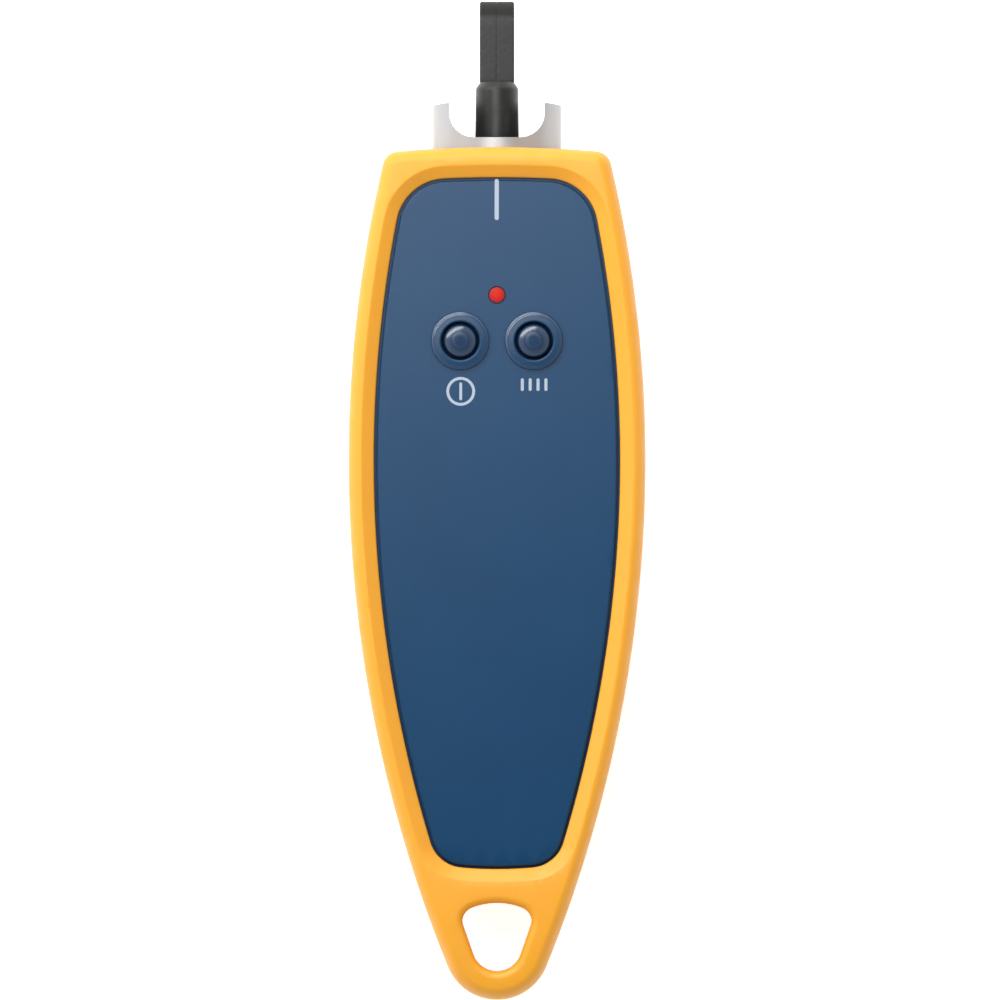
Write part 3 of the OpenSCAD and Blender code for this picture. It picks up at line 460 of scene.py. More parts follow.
def turned_metal(name, colour, dark):
    """Metal cut on a lathe about Y: its fine lines run round, so the noise is squeezed along Y."""
    f = Finish(name, colour, 0.28, Metallic=1.0)
    f.tint(f.noise(1.6), dark, 0.5)
    return f.bump(f.noise(0.1, 1.0, (0.08, 1.0, 0.08)), 0.003).material


def plated_steel(name, colour, dark):
    """Bright plating whose gloss changes over small patches."""
    f = Finish(name, colour, 0.3, Metallic=1.0)
    f.tint(f.noise(1.0, 3.0), dark, 0.6)
    f.rough(f.noise(0.4), 0.22, 0.4)
    return f.bump(f.noise(0.2), 0.003).material


# %% Small finishes inside and on the panel
LAMP_Y, LAMP_HOLE_R, LAMP_CORE_R = 24.1, 1.2, 0.35


def lamp_lens():
    """A red light pipe with its glow painted in: full red in the middle and duller towards the edge of its
    hole.
    """
    f = Finish("lamp_lens", srgb(206, 36, 22), 0.4, Specular_IOR_Level=0.12,
               Emission_Color=(*srgb(255, 40, 26), 1.0), Emission_Strength=0.04)
    # painted glow: the colour dulls from the middle outwards, as the lit pipe's light falls off
    f.tint(f.distance(0.0, LAMP_Y, LAMP_CORE_R, LAMP_HOLE_R), srgb(150, 48, 48), 0.9)
    return f.tint(f.noise(0.5), srgb(206, 58, 44), 0.3).material


def board_lacquer():
    """Green lacquer, lighter over the tracks under it, which run along X."""
    f = Finish("board_lacquer", srgb(22, 92, 52), 0.25, Coat_Weight=0.5)
    f.tint(f.spread(f.noise(2.2, 1.0, (1.0, 4.0, 1.0)), 0.55, 0.6), srgb(40, 120, 70), 0.8)
    return f.bump(f.noise(0.6, 1.0), 0.004).material


def cell_sleeve():
    """A dry cell: dark printed film, a copper band where copper is 1 and bare steel where bare is 1."""
    f = Finish("cell_sleeve", srgb(34, 36, 40), 0.24, Coat_Weight=0.3)
    copper, bare = f.painted("copper"), f.painted("bare")
    f.tint(f.noise(6.0), srgb(48, 50, 54), 0.5)
    f.tint(copper, srgb(196, 122, 72))
    f.tint(bare, srgb(200, 200, 198))
    f.tree.links.new(f.larger(copper, bare), f.shader.inputs["Metallic"])
    return f.bump(f.noise(0.8, 1.0), 0.003).material


def white_ink():
    """Pale ink, thinner in small patches."""
    f = Finish("white_ink", srgb(174, 188, 204), 0.5)
    f.tint(f.spread(f.noise(0.3), 0.6, 0.8), srgb(158, 174, 192), 0.6)
    return f.bump(f.noise(0.15), 0.002).material


def lens_glass():
    """Clear glass, very slightly uneven."""
    f = Finish("lens_glass", srgb(235, 242, 250), 0.03, Transmission_Weight=1.0, IOR=1.52)
    return f.bump(f.noise(1.5, 1.0), 0.0005).material


# %% Make every finish once
finishes = {
    "boot_rubber": boot_rubber(), "cover_plastic": cover_plastic(), "key_rubber": key_rubber(),
    "cap_rubber": cap_rubber(), "strap_rubber": strap_rubber(), "black_plastic": black_plastic(),
    "ceramic": mottled("ceramic", srgb(238, 236, 230), 0.18, 0.6, srgb(226, 222, 212), 0.5,
                       Coat_Weight=0.4),
    "collar_metal": collar_metal(),
    "barrel_brass": turned_metal("barrel_brass", srgb(206, 176, 104), srgb(180, 148, 80)),
    "adapter_metal": turned_metal("adapter_metal", srgb(214, 214, 210), srgb(186, 186, 182)),
    "screw_steel": plated_steel("screw_steel", srgb(190, 190, 192), srgb(150, 150, 154)),
    "contact_metal": plated_steel("contact_metal", srgb(214, 212, 204), srgb(182, 180, 172)),
    "lamp_lens": lamp_lens(), "board": board_lacquer(), "cell_can": cell_sleeve(), "ink": white_ink(),
    "lens_glass": lens_glass(),
    "capacitor": mottled("capacitor_body", srgb(170, 140, 104), 0.4, 0.4, srgb(150, 120, 88), 0.6),
    "lamp_chip": mottled("lamp_chip", srgb(236, 232, 214), 0.35, 0.4, srgb(222, 214, 180), 0.6),
}
print("finishes:", len(finishes))

# %% [markdown]
# ## The pieces that keep their CAD shape
#
# Each CAD node already has the right shape and place, so it first gets the finish of its slot. The
# ones that show get a finer surface later, which then stands for the node.

# %% Finish every CAD node
slot_of = {row["node"]: row["material_slot"] for row in frame["record"]["subparts"]}
for name, node in nodes.items():
    node.data.materials.clear()
    node.data.materials.append(finishes[slot_of[name]])
print("dressed", len(nodes), "nodes")

# %% [markdown]
# ## The boot's outlines
#
# Seen from the front, the boot is drawn with a few large arcs: two long side curves that meet at the
# widest level, a bowed top edge, small corners, and a round tail that both sides run into. Every
# other edge of the case follows those curves at its own distance. So one function gives an outline
# for any inset, and all outlines have matching points, which lets neighbouring ones be joined.

# %% Sizes of the outlines, in millimetres
BOOT_W, BOOT_TOP, BOOT_TAIL, BOOT_T = 43.5, 45.8, 79.0, 28.0
SIDE_UP_R, SIDE_LOW_R, TOP_BOW_R, BOTTOM_BOW_R = 189.0, 196.5, 171.0, 59.0
BOOT_CORNER_R, RIM_W, BEVEL_W, BEVEL_H, LIP_T = 2.4, 3.75, 1.9, 1.4, 0.8
WINDOW_TOP, WINDOW_BOTTOM, WINDOW_TOP_R, WINDOW_BOTTOM_R = 41.3, 59.8, 7.4, 5.2
BOOT_WALL, COVER_INSET, COVER_TOP_R = 2.6, 2.75, 4.0
REAR_RIM_W, REAR_LIP_T = 5.0, 1.4
REAR_TOP, REAR_BOTTOM, REAR_TOP_R, REAR_BOTTOM_R = 40.0, 58.4, 6.0, 4.6
BELLY_Y, BELLY_R, FRONT_FALL = -36.0, 69.0, 1.5
FALL_Y = -WINDOW_BOTTOM - BEVEL_W
TAIL_R = (SIDE_LOW_R**2 - (SIDE_LOW_R - BOOT_W / 2) ** 2 - BOOT_TAIL**2) / 2 / (SIDE_LOW_R - BOOT_TAIL)
UP_C = np.array([BOOT_W / 2 - SIDE_UP_R, 0.0])
LOW_C = np.array([BOOT_W / 2 - SIDE_LOW_R, 0.0])
TAIL_C = np.array([0.0, TAIL_R - BOOT_TAIL])
COUNTS = {"top": 26, "corner": 14, "up": 46, "low": 70, "turn": 26, "end": 30}


# %% Outline functions
def arc(c, r, a, b, n):
    """n points of a circle of radius r about c, from angle a towards b in degrees, without the last."""
    t = np.radians(a + (b - a) * np.arange(n) / n)
    return np.column_stack([c[0] + r * np.cos(t), c[1] + r * np.sin(t)])


def bearing(a, b):
    """The angle in degrees of the line from a to b."""
    return math.degrees(math.atan2(b[1] - a[1], b[0] - a[0]))


def crossing(a, ra, b, rb, way):
    """Where circles about a and b cross, above their centre line for way 1 and below it for way -1."""
    a, b = np.asarray(a, float), np.asarray(b, float)
    d = np.linalg.norm(b - a)
    u = (b - a) / d
    s = (ra**2 - rb**2 + d**2) / (2 * d)
    return a + s * u + way * math.sqrt(ra**2 - s**2) * np.array([u[1], -u[0]])


def with_mirror(half):
    """A closed outline from its right half, whose first and last points lie on the centre line."""
    return np.vstack([half, half[-2:0:-1] * [-1, 1]])


def flank(inset, top, top_r, last):
    """The right half of an outline from its top middle down the side to the bearing last."""
    bow_c = np.array([0.0, top - TOP_BOW_R])
    c = crossing(bow_c, TOP_BOW_R - top_r, UP_C, SIDE_UP_R - inset - top_r, 1)
    return [arc(bow_c, TOP_BOW_R, 90, bearing(bow_c, c), COUNTS["top"]),
            arc(c, top_r, bearing(bow_c, c), bearing(UP_C, c), COUNTS["corner"]),
            arc(UP_C, SIDE_UP_R - inset, bearing(UP_C, c), 0, COUNTS["up"]),
            arc(LOW_C, SIDE_LOW_R - inset, 0, last, COUNTS["low"])]


def low_corner(inset, bottom, r):
    """The centre of the round corner between a side and the bowed bottom edge."""
    return crossing([0, BOTTOM_BOW_R - bottom], BOTTOM_BOW_R - r, LOW_C, SIDE_LOW_R - inset - r, -1)


def plan(inset, top, top_r, bottom, bottom_r):
    """An outline with the boot's sides set in by inset, a bowed top and a bowed bottom."""
    bow_c = np.array([0.0, BOTTOM_BOW_R - bottom])
    c = low_corner(inset, bottom, bottom_r)
    turn = bearing(LOW_C, c)
    return with_mirror(np.vstack([*flank(inset, top, top_r, turn),
                                  arc(c, bottom_r, turn, bearing(bow_c, c), COUNTS["turn"]),
                                  arc(bow_c, BOTTOM_BOW_R, bearing(bow_c, c), -90, COUNTS["end"]),
                                  [[0, -bottom]]]))


def boot_plan(inset):
    """The boot's own outline set in by inset, which ends in the round tail."""
    turn = bearing(LOW_C, low_corner(RIM_W, WINDOW_BOTTOM, WINDOW_BOTTOM_R))
    join = bearing(LOW_C, TAIL_C)
    corner_r = max(BOOT_CORNER_R - inset, BOOT_CORNER_R / 8)
    return with_mirror(np.vstack([*flank(inset, BOOT_TOP - inset, corner_r, turn),
                                  arc(LOW_C, SIDE_LOW_R - inset, turn, join, COUNTS["turn"]),
                                  arc(TAIL_C, TAIL_R - inset, join, -90, COUNTS["end"]),
                                  [[0, inset - BOOT_TAIL]]]))


def window_plan(grow):
    """The front window's outline widened by grow."""
    return plan(RIM_W - grow, WINDOW_TOP + grow, WINDOW_TOP_R + grow,
                WINDOW_BOTTOM + grow, WINDOW_BOTTOM_R + grow)


def hold_plan(inset):
    """The outline of the case inside the boot, or of the hollow that holds it."""
    return plan(inset, BOOT_TOP - inset, COVER_TOP_R + COVER_INSET - inset,
                WINDOW_BOTTOM + RIM_W - inset, WINDOW_BOTTOM_R + RIM_W - inset)


def rear_plan(shrink):
    """The rear window's outline made smaller by shrink."""
    return plan(REAR_RIM_W + shrink, REAR_TOP - shrink, REAR_TOP_R - shrink,
                REAR_BOTTOM - shrink, REAR_BOTTOM_R - shrink)


def back_z(y):
    """Height of the boot's back: flat, then rising on an arc towards the tail."""
    return np.where(y > BELLY_Y, 0.0, BELLY_R - np.sqrt(BELLY_R**2 - np.minimum(y - BELLY_Y, 0.0) ** 2))


def front_z(y):
    """Height of the boot's front: flat, then falling a little as a square law towards the tail."""
    return BOOT_T - FRONT_FALL * (np.maximum(FALL_Y - y, 0.0) / (BOOT_TAIL + FALL_Y)) ** 2


def ring(outline, share, rise=0.0):
    """An outline in space: share 0 puts it on the back, 1 on the front, and rise is added."""
    y = outline[:, 1]
    return np.column_stack([outline, back_z(y) * (1 - share) + front_z(y) * share + rise])


print("points in one outline:", len(boot_plan(0)))

# %% [markdown]
# ## The rubber boot
#
# The boot is moulded in one piece. Cut anywhere, its wall shows the same section: a crowned outer
# corner, a bevel that slopes in to a thin lip round the window, a hollow for the case, and a flat
# rear rim. The section's points are rings round the whole boot, and rings joined in order make the
# surface. Between crest and bevel, and on the back, the boot is a flat sheet with the lanyard eye
# in it, so those two sheets are filled with triangles round the eye's edge instead. The round hole
# for the port crosses the top wall squarely, where a Boolean cut is clean.

# %% The boot's rings
CREST_INSET, CREST_DROP, CROWN_INSET = 1.85, 2.7, 0.105
FLANK_BULGE, BACK_R, REAR_EDGE_R = 0.42, 1.6, 0.4
# The bevel from the crest down to the lip, as (share of its width, height over the front face)
BEVEL_STEPS = ((1.0, 0.0), (0.965, -0.015), (0.91, -0.07), (0.84, -0.15), (0.5, -0.6), (0.17, -1.03),
               (0.08, -1.15), (0.02, -1.28), (0.0, -1.42), (0.0, -BEVEL_H - LIP_T))


def quarter(n):
    """n + 1 pairs (1 - sin t, 1 - cos t), t from 0 to 90 degrees: the two offsets of a round edge."""
    t = np.linspace(0.0, math.pi / 2, n + 1)
    return list(zip(1 - np.sin(t), 1 - np.cos(t)))


def outer_rings():
    """From the flat of the back round its corner, up the flank and over the front crown to the crest."""
    back = [ring(boot_plan(BACK_R * s), 0, BACK_R * c) for s, c in quarter(8)]
    flanks = [ring(boot_plan(FLANK_BULGE * (up - 0.5) ** 2), up, BACK_R * (1 - up) - CREST_DROP * up)
              for up in np.linspace(0.1, 0.9, 9)]
    crown = [ring(boot_plan(CROWN_INSET + (CREST_INSET - CROWN_INSET) * c), 1, -CREST_DROP * s)
             for s, c in quarter(12)]
    return back + flanks + crown


def window_rings():
    """From the crest down the bevel, round the lip, back along the hollow and round the rear rim."""
    bevel = [ring(window_plan(share * BEVEL_W), 1, rise) for share, rise in BEVEL_STEPS]
    hollow = [ring(hold_plan(BOOT_WALL), 1, -BEVEL_H - LIP_T), ring(hold_plan(BOOT_WALL), 0.5),
              ring(hold_plan(BOOT_WALL), 0, REAR_LIP_T), ring(rear_plan(0), 0, REAR_LIP_T)]
    rear = [ring(rear_plan(-REAR_EDGE_R * c), 0, REAR_EDGE_R * s) for s, c in quarter(4)]
    return bevel + hollow + rear


# %% The lanyard eye's outline and wall
EYE_HALF, EYE_UPPER_R, EYE_LOWER_R, EYE_UPPER_Y, EYE_LOWER_Y = 2.85, 2.2, 3.65, 11.5, 7.8
EYE_EDGE_R, EYE_RISE = 1.1, 2.75
EYE_COUNTS = (12, 20, 26)


def eye_plan(grow):
    """The eye widened by grow: a bowed top, two upper corners, straight sides and a round lower end."""
    corner_c = np.array([EYE_HALF, EYE_UPPER_Y - BOOT_TAIL])
    low_end = np.array([0.0, EYE_LOWER_Y - BOOT_TAIL])
    bow_r = (EYE_HALF**2 + EYE_RISE**2 - EYE_UPPER_R**2) / (2 * (EYE_RISE - EYE_UPPER_R))
    bow_c = np.array([0.0, corner_c[1] + EYE_RISE - bow_r])
    lean = math.degrees(math.acos((EYE_LOWER_R - EYE_UPPER_R) / np.linalg.norm(corner_c - low_end)))
    turn, side = bearing(bow_c, corner_c), bearing(low_end, corner_c) - lean
    return with_mirror(np.vstack([arc(bow_c, bow_r + grow, 90, turn, EYE_COUNTS[0]),
                                  arc(corner_c, EYE_UPPER_R + grow, turn, side, EYE_COUNTS[1]),
                                  arc(low_end, EYE_LOWER_R + grow, side, -90, EYE_COUNTS[2]),
                                  [low_end - [0, EYE_LOWER_R + grow]]]))


def eye_rings():
    """The eye's wall from the front face to the back, each edge turning through a quarter circle."""
    front = [ring(eye_plan(EYE_EDGE_R * s), 1, -EYE_EDGE_R * c) for s, c in quarter(9)]
    middle = [ring(eye_plan(0), share) for share in (0.7, 0.5, 0.3)]
    back = [ring(eye_plan(EYE_EDGE_R * c), 0, EYE_EDGE_R * s) for s, c in quarter(9)]
    return front + middle + back


# %% Filling a sheet that has holes
def inside(points, outline):
    """True for each point that lies inside a closed outline, by counting the sides to its right."""
    a, b = outline, np.roll(outline, -1, axis=0)
    x, y = points[:, 0, None], points[:, 1, None]
    spans = (a[:, 1] > y) != (b[:, 1] > y)
    rise = np.where(b[:, 1] == a[:, 1], 1e-12, b[:, 1] - a[:, 1])
    return (spans & (x < a[:, 0] + (y - a[:, 1]) * (b[:, 0] - a[:, 0]) / rise)).sum(axis=1) % 2 == 1


def sheet_points(outer, holes, step, margin):
    """A square grid of points inside outer and clear of every outline by margin."""
    low, high = outer.min(axis=0), outer.max(axis=0)
    x, y = np.meshgrid(np.arange(low[0], high[0], step), np.arange(low[1], high[1], step))
    p = np.column_stack([x.ravel(), y.ravel()])
    p = p[inside(p, outer)]
    for hole in holes:
        p = p[~inside(p, hole)]
    near = np.vstack([outer, *holes])
    gap = np.sqrt(((p[:, None, :] - near[None, :, :]) ** 2).sum(axis=2)).min(axis=1)
    return p[gap > margin]


def filled(outer, holes, *grid):
    """Points and triangles of a flat sheet with holes, over a grid of points if given step and margin."""
    loops = [outer, *holes]
    starts = np.cumsum([0] + [len(loop) for loop in loops])
    sides = [np.column_stack([s + np.arange(len(loop)), s + (np.arange(len(loop)) + 1) % len(loop)])
             for s, loop in zip(starts, loops)]
    points = np.vstack([*loops, sheet_points(outer, holes, *grid)] if grid else loops)
    found = delaunay_2d_cdt(points.tolist(), np.vstack(sides).tolist(), [], 0, 1e-7)
    flat = np.array([tuple(v) for v in found[0]])
    tris = np.array(found[2])
    middle = flat[tris].mean(axis=1)
    keep = inside(middle, outer)
    for hole in holes:
        keep &= ~inside(middle, hole)
    return flat, tris[keep]


# %% Join the boot's surfaces
BOOT_GRID, BOOT_SHARP_DEG = (1.2, 0.7), 50


def boot_surface():
    """All of the boot's points and faces: three sets of rings, and two sheets filled round the eye."""
    eye = eye_plan(EYE_EDGE_R)
    parts = [lofted(rings) for rings in (outer_rings(), window_rings(), eye_rings())]
    for share, outer, hole in ((1, boot_plan(CREST_INSET), window_plan(BEVEL_W)),
                               (0, boot_plan(BACK_R), rear_plan(-REAR_EDGE_R))):
        flat, tris = filled(outer, [hole, eye], *BOOT_GRID)
        parts.append((ring(flat, share), tris.tolist()))
    return together(parts)


boot = make_piece(make_mesh("boot", *boot_surface(), BOOT_SHARP_DEG), "case", "boot_rubber", "rubber_boot")

# %% Turned surfaces, and the port's hole
PORT_Z, COLLAR_R = 14.0, 9.4
HOLE_R, HOLE_LOW, HOLE_TOP = COLLAR_R + 0.15, 42.0, 46.6
# The hole's mouth, as (how far out from HOLE_R, height)
HOLE_MOUTH = ((0.0, 45.15), (0.1, 45.3), (1.45, HOLE_TOP))


def turned(profile, steps, centre=(0.0, PORT_Z), axis="y"):
    """A profile of (radius, height) points turned about a line along Y or Z, through centre."""
    profile = np.asarray(profile, float)
    t = 2 * math.pi * np.arange(steps) / steps
    r, h = profile[:, 0, None], profile[:, 1, None]
    a, b, c = r * np.cos(t), r * np.sin(t), h + 0 * t
    order = (a + centre[0], c, b + centre[1]) if axis == "y" else (a + centre[0], b + centre[1], c)
    return np.column_stack([o.ravel() for o in order]), grid_faces(len(profile), steps)


mouth = [(HOLE_R + outward, height) for outward, height in HOLE_MOUTH]
hole_profile = [(0.0, HOLE_LOW), (HOLE_R, HOLE_LOW), *mouth, (0.0, HOLE_TOP)]
boolean(boot, turned(hole_profile, 128), "DIFFERENCE")
crisp(boot.data, BOOT_SHARP_DEG)
flat_true(boot)
print("boot faces after the cut:", len(boot.data.polygons))

# %% [markdown]
# ## Softening a machined or moulded CAD piece
#
# A real moulding has no razor edges. For a piece whose CAD shape is right, the finer surface is a
# copy of the node: its loose triangles are merged, flat areas are joined into single faces, and a
# Bevel modifier rounds each edge that turns sharply. The copy then stands for the node.

# %% A softened copy of a node
CASE_EDGE, EDGE_MIN_DEG, FLAT_DEG, COPY_SHARP_DEG = 0.2, 35.0, 0.6, 32


def softened(node_name, piece_name, body, width_mm, finish=None, segments=3):
    """A copy of a CAD node with its sharp edges rounded to width_mm."""
    mesh = nodes[node_name].data.copy()
    mesh.name = piece_name
    bm = bmesh.new()
    bm.from_mesh(mesh)
    bmesh.ops.remove_doubles(bm, verts=bm.verts, dist=0.001 * MM)
    bmesh.ops.dissolve_limit(bm, angle_limit=math.radians(FLAT_DEG), verts=bm.verts, edges=bm.edges)
    bm.to_mesh(mesh)
    bm.free()
    piece = make_piece(mesh, body, slot_of[node_name], node_name, finish)
    bevel = piece.modifiers.new("soft_edges", "BEVEL")
    bevel.width, bevel.segments = width_mm * MM, segments
    bevel.limit_method, bevel.angle_limit = "ANGLE", math.radians(EDGE_MIN_DEG)
    bevel.use_clamp_overlap = True
    applied(piece)
    crisp(piece.data, COPY_SHARP_DEG)
    flat_true(piece)


softened("rear_cover", "rear_shell", "case", CASE_EDGE)
softened("port_collar", "guard_collar", "case", CASE_EDGE)
softened("battery_door", "battery_lid", "door", CASE_EDGE)

# %% [markdown]
# ## The front shell
#
# The front half of the case shows as a flat blue panel in the boot's window, with a rounded rim, two
# raised rings and a lamp hole. It is worked out anew: rings of points from the panel's edge down the
# flank and back up inside make the shell, each raised ring is a turned profile, and two filled sheets
# close the panel's face and its underside. Bosses and posts are then joined on with a Boolean.

# %% Sizes of the front shell
KEY_HALF, KEY_Y, KEY_R, KEY_HOLE_R = 5.38, 17.4, 2.45, 2.8
PANEL_Z, PANEL_T, PANEL_GAP, BEZEL_R, BEZEL_H = 26.6, 2.0, 0.4, 4.29, 0.75
LEDGE_Z, MID_Z, COVER_WALL = 25.65, 14.0, 1.8
EDGE_R, LEDGE_R, TONGUE_H, TONGUE_IN, TONGUE_W = 0.3, 0.3, 0.9, 0.6, 0.7
UNDER_Z = PANEL_Z - PANEL_T
key_spots = [(-KEY_HALF, KEY_Y), (KEY_HALF, KEY_Y)]


def level(outline, z):
    """An outline laid flat at height z."""
    return np.column_stack([outline, np.full(len(outline), z)])


def rounded(points, radius, steps=5):
    """A polyline whose inner corners are rounded to about radius, or less where its sides are short."""
    points = np.asarray(points, float)
    done = [points[0]]
    for before, corner, after in zip(points[:-2], points[1:-1], points[2:]):
        a, b = before - corner, after - corner
        la, lb = np.linalg.norm(a), np.linalg.norm(b)
        cut_back = min(radius, 0.45 * la, 0.45 * lb)
        start, stop = corner + a / la * cut_back, corner + b / lb * cut_back
        t = np.linspace(0, 1, steps + 1)[:, None]
        done.extend((1 - t) ** 2 * start + 2 * t * (1 - t) * corner + t**2 * stop)
    done.append(points[-1])
    return np.array(done)


def front_rings():
    """From the panel's edge over its round rim, out on the ledge, down the flank and up the inside."""
    rim = [level(window_plan(-PANEL_GAP - EDGE_R * s), PANEL_Z - EDGE_R * c) for s, c in quarter(7)]
    foot = [level(window_plan(-PANEL_GAP), LEDGE_Z)]
    ledge = [level(hold_plan(COVER_INSET + LEDGE_R * s), LEDGE_Z - LEDGE_R * c) for s, c in quarter(5)]
    tongue_out, inner = COVER_INSET + TONGUE_IN, COVER_INSET + COVER_WALL
    tongue_in, tongue_z = tongue_out + TONGUE_W, MID_Z - TONGUE_H
    under = [level(hold_plan(inset), z) for inset, z in
             ((COVER_INSET, MID_Z), (tongue_out, MID_Z), (tongue_out, tongue_z), (tongue_in, tongue_z),
              (tongue_in, MID_Z), (inner, MID_Z), (inner, UNDER_Z))]
    return rim + foot + ledge + under


# %% The raised rings, and the shell as one surface
# A ring's climb over its two soft steps, as (how far in from BEZEL_R, height over the panel)
BEZEL_CLIMB = ((0.0, 0.0), (0.05, 0.14), (0.09, 0.42), (0.10, 0.47), (0.22, 0.53), (0.34, 0.54),
               (0.38, 0.60), (0.53, 0.68), (0.60, 0.70), (0.80, 0.71))
# Its way down into the key's hole, as (how far out from KEY_HOLE_R, how far below BEZEL_H)
BEZEL_DIP = ((0.24, 0.0), (0.12, 0.02), (0.03, 0.1), (0.0, 0.25))
BEZEL_SHINE_W, BEZEL_SLACK, LAMP_EDGE, PANEL_GRID, FRONT_SHARP_DEG = 0.58, 0.1, 0.1, (3.0, 1.0), 40


def front_surface():
    """All of the shell: its rings, the walls of its three holes, and the panel's face and underside."""
    climb = [(BEZEL_R - inward, height) for inward, height in BEZEL_CLIMB]
    dip = [(KEY_HOLE_R + outward, BEZEL_H - depth) for outward, depth in BEZEL_DIP]
    key_wall = np.vstack([rounded(climb + dip, 0.012, 2) + [0.0, PANEL_Z], [(KEY_HOLE_R, UNDER_Z)]])
    lamp_wall = [(LAMP_HOLE_R + LAMP_EDGE, PANEL_Z), (LAMP_HOLE_R, PANEL_Z - LAMP_EDGE),
                 (LAMP_HOLE_R, UNDER_Z)]
    walls = [(spot, key_wall, 96) for spot in key_spots] + [((0.0, LAMP_Y), lamp_wall, 48)]
    parts = [lofted(front_rings())] + [turned(wall, steps, spot, "z") for spot, wall, steps in walls]
    for outline, z, end in ((window_plan(-PANEL_GAP - EDGE_R), PANEL_Z, 0),
                            (hold_plan(COVER_INSET + COVER_WALL), UNDER_Z, -1)):
        holes = [arc(spot, wall[end][0], 0, 360, steps) for spot, wall, steps in walls]
        flat, tris = filled(outline, holes, *PANEL_GRID)
        parts.append((level(flat, z), tris.tolist()))
    return together(parts)


front = make_piece(make_mesh("front_shell", *front_surface(), FRONT_SHARP_DEG), "case", "cover_plastic",
                   "front_cover")

# %% Bosses and posts inside, and the port's clearance
BOSSES, POSTS, PINS = ((11.39, 34.0), (9.88, -42.0)), ((6.6, 30.2),), ((8.8, -3.4),)
BOSS_R, BOSS_TOP, POST_R, POST_TOP, PIN_R, PIN_TOP = 2.7, 25.2, 1.9, 25.1, 0.95, 22.0
SCREW_R, SCREW_TOP, BOARD_SCREW_R, BOARD_SCREW_TOP = 1.05, 20.6, 0.85, 24.4
BOARD_Z, BOARD_TOP, FLANGE_Y, FLANGE_T, FLANGE_R, PORT_GAP = 20.3, 21.5, 39.6, 1.5, 10.4, 0.1
PORT_CUT_TOP = 46.0


def rods(places, r, low, high):
    """Closed upright rods at some places (x, y) and at their mirror images, all in one surface."""
    profile = [(0.0, low), (r, low), (r, high), (0.0, high)]
    return together([turned(profile, 48, (side * x, y), "z") for side in (-1, 1) for x, y in places])


boolean(front, rods(BOSSES, BOSS_R, MID_Z + 0.01, BOSS_TOP), "UNION")
boolean(front, rods(POSTS + PINS, POST_R, BOARD_TOP, POST_TOP), "UNION")
boolean(front, rods(PINS, PIN_R, BOARD_Z, PIN_TOP), "UNION")
screw_holes = together([rods(BOSSES, SCREW_R, MID_Z - 1, SCREW_TOP),
                        rods(POSTS, BOARD_SCREW_R, BOARD_TOP - 1, BOARD_SCREW_TOP)])
boolean(front, screw_holes, "DIFFERENCE")
flange_low, flange_top = FLANGE_Y - PORT_GAP, FLANGE_Y + FLANGE_T + PORT_GAP
port_cut = [(0.0, flange_low), (FLANGE_R + PORT_GAP, flange_low), (FLANGE_R + PORT_GAP, flange_top),
            (COLLAR_R + PORT_GAP, flange_top), (COLLAR_R + PORT_GAP, PORT_CUT_TOP), (0.0, PORT_CUT_TOP)]
boolean(front, turned(port_cut, 128), "DIFFERENCE")
crisp(front.data, FRONT_SHARP_DEG)
flat_true(front)
print("front shell faces", len(front.data.polygons))

# %% Mark the raised rings for the finish
spots = spots_of(front.data)
near_key = np.min([np.hypot(spots[:, 0] - x, spots[:, 1] - y) for x, y in key_spots], axis=0)
on_ring = (near_key < BEZEL_R + BEZEL_SLACK) & (spots[:, 2] > PANEL_Z + BEZEL_SLACK)
paint(front.data, "polish", on_ring)
paint(front.data, "edge_shine", on_ring & (near_key > BEZEL_R - BEZEL_SHINE_W))
print("points on the raised rings:", int(on_ring.sum()))

# %% [markdown]
# ## The keys
#
# Each key is a small rubber button in a round hole. A profile turned about the key's axis gives it:
# flange, waist, a coned shoulder and an almost flat pad for the fingertip. The crown's slope is chosen
# at a few radii, and its fall is the running sum of that slope. The pad is matt and the shoulder
# glossy, so the strip light draws the photograph's bright crescent there.

# %% Turn the two keys
CROWN_SHARES = (0.0, 0.20, 0.36, 0.60, 0.86, 0.94, 1.0)
CROWN_SLOPES = (0.0, 1.0, 6.0, 23.0, 32.0, 52.0, 75.0)
KEY_RISE, KEY_FOOT_Z, KEY_STEM_R, KEY_FLANGE_R, KEY_FLANGE_T = 0.38, 23.7, 1.2, 3.4, 0.6
PAD_SHARE, PAD_FADE_SHARE, SHEEN_FOOT, SHEEN_FADE = 0.26, 0.40, 0.3, 0.25
CROWN_POINTS, KEY_FLANGE_GAP, KEY_EDGE_R = 60, 0.1, 0.12


def key_profile():
    """Flange, waist and crown of a key; the crown's fall is the running sum of its slope."""
    flange = UNDER_Z - KEY_FLANGE_GAP
    share = np.linspace(0, 1, CROWN_POINTS)
    slope = np.tan(np.radians(np.interp(share, CROWN_SHARES, CROWN_SLOPES)))
    fall = np.concatenate([[0.0], np.cumsum((slope[1:] + slope[:-1]) / 2)]) * KEY_R / (CROWN_POINTS - 1)
    crown = np.column_stack([KEY_R * share, PANEL_Z + BEZEL_H + KEY_RISE - fall])[::-1]
    foot = rounded([(0.0, KEY_FOOT_Z), (KEY_STEM_R, KEY_FOOT_Z), (KEY_STEM_R, flange - KEY_FLANGE_T),
                    (KEY_FLANGE_R, flange - KEY_FLANGE_T), (KEY_FLANGE_R, flange), (KEY_R, flange),
                    crown[0]], KEY_EDGE_R)
    return np.vstack([foot[:-1], crown])


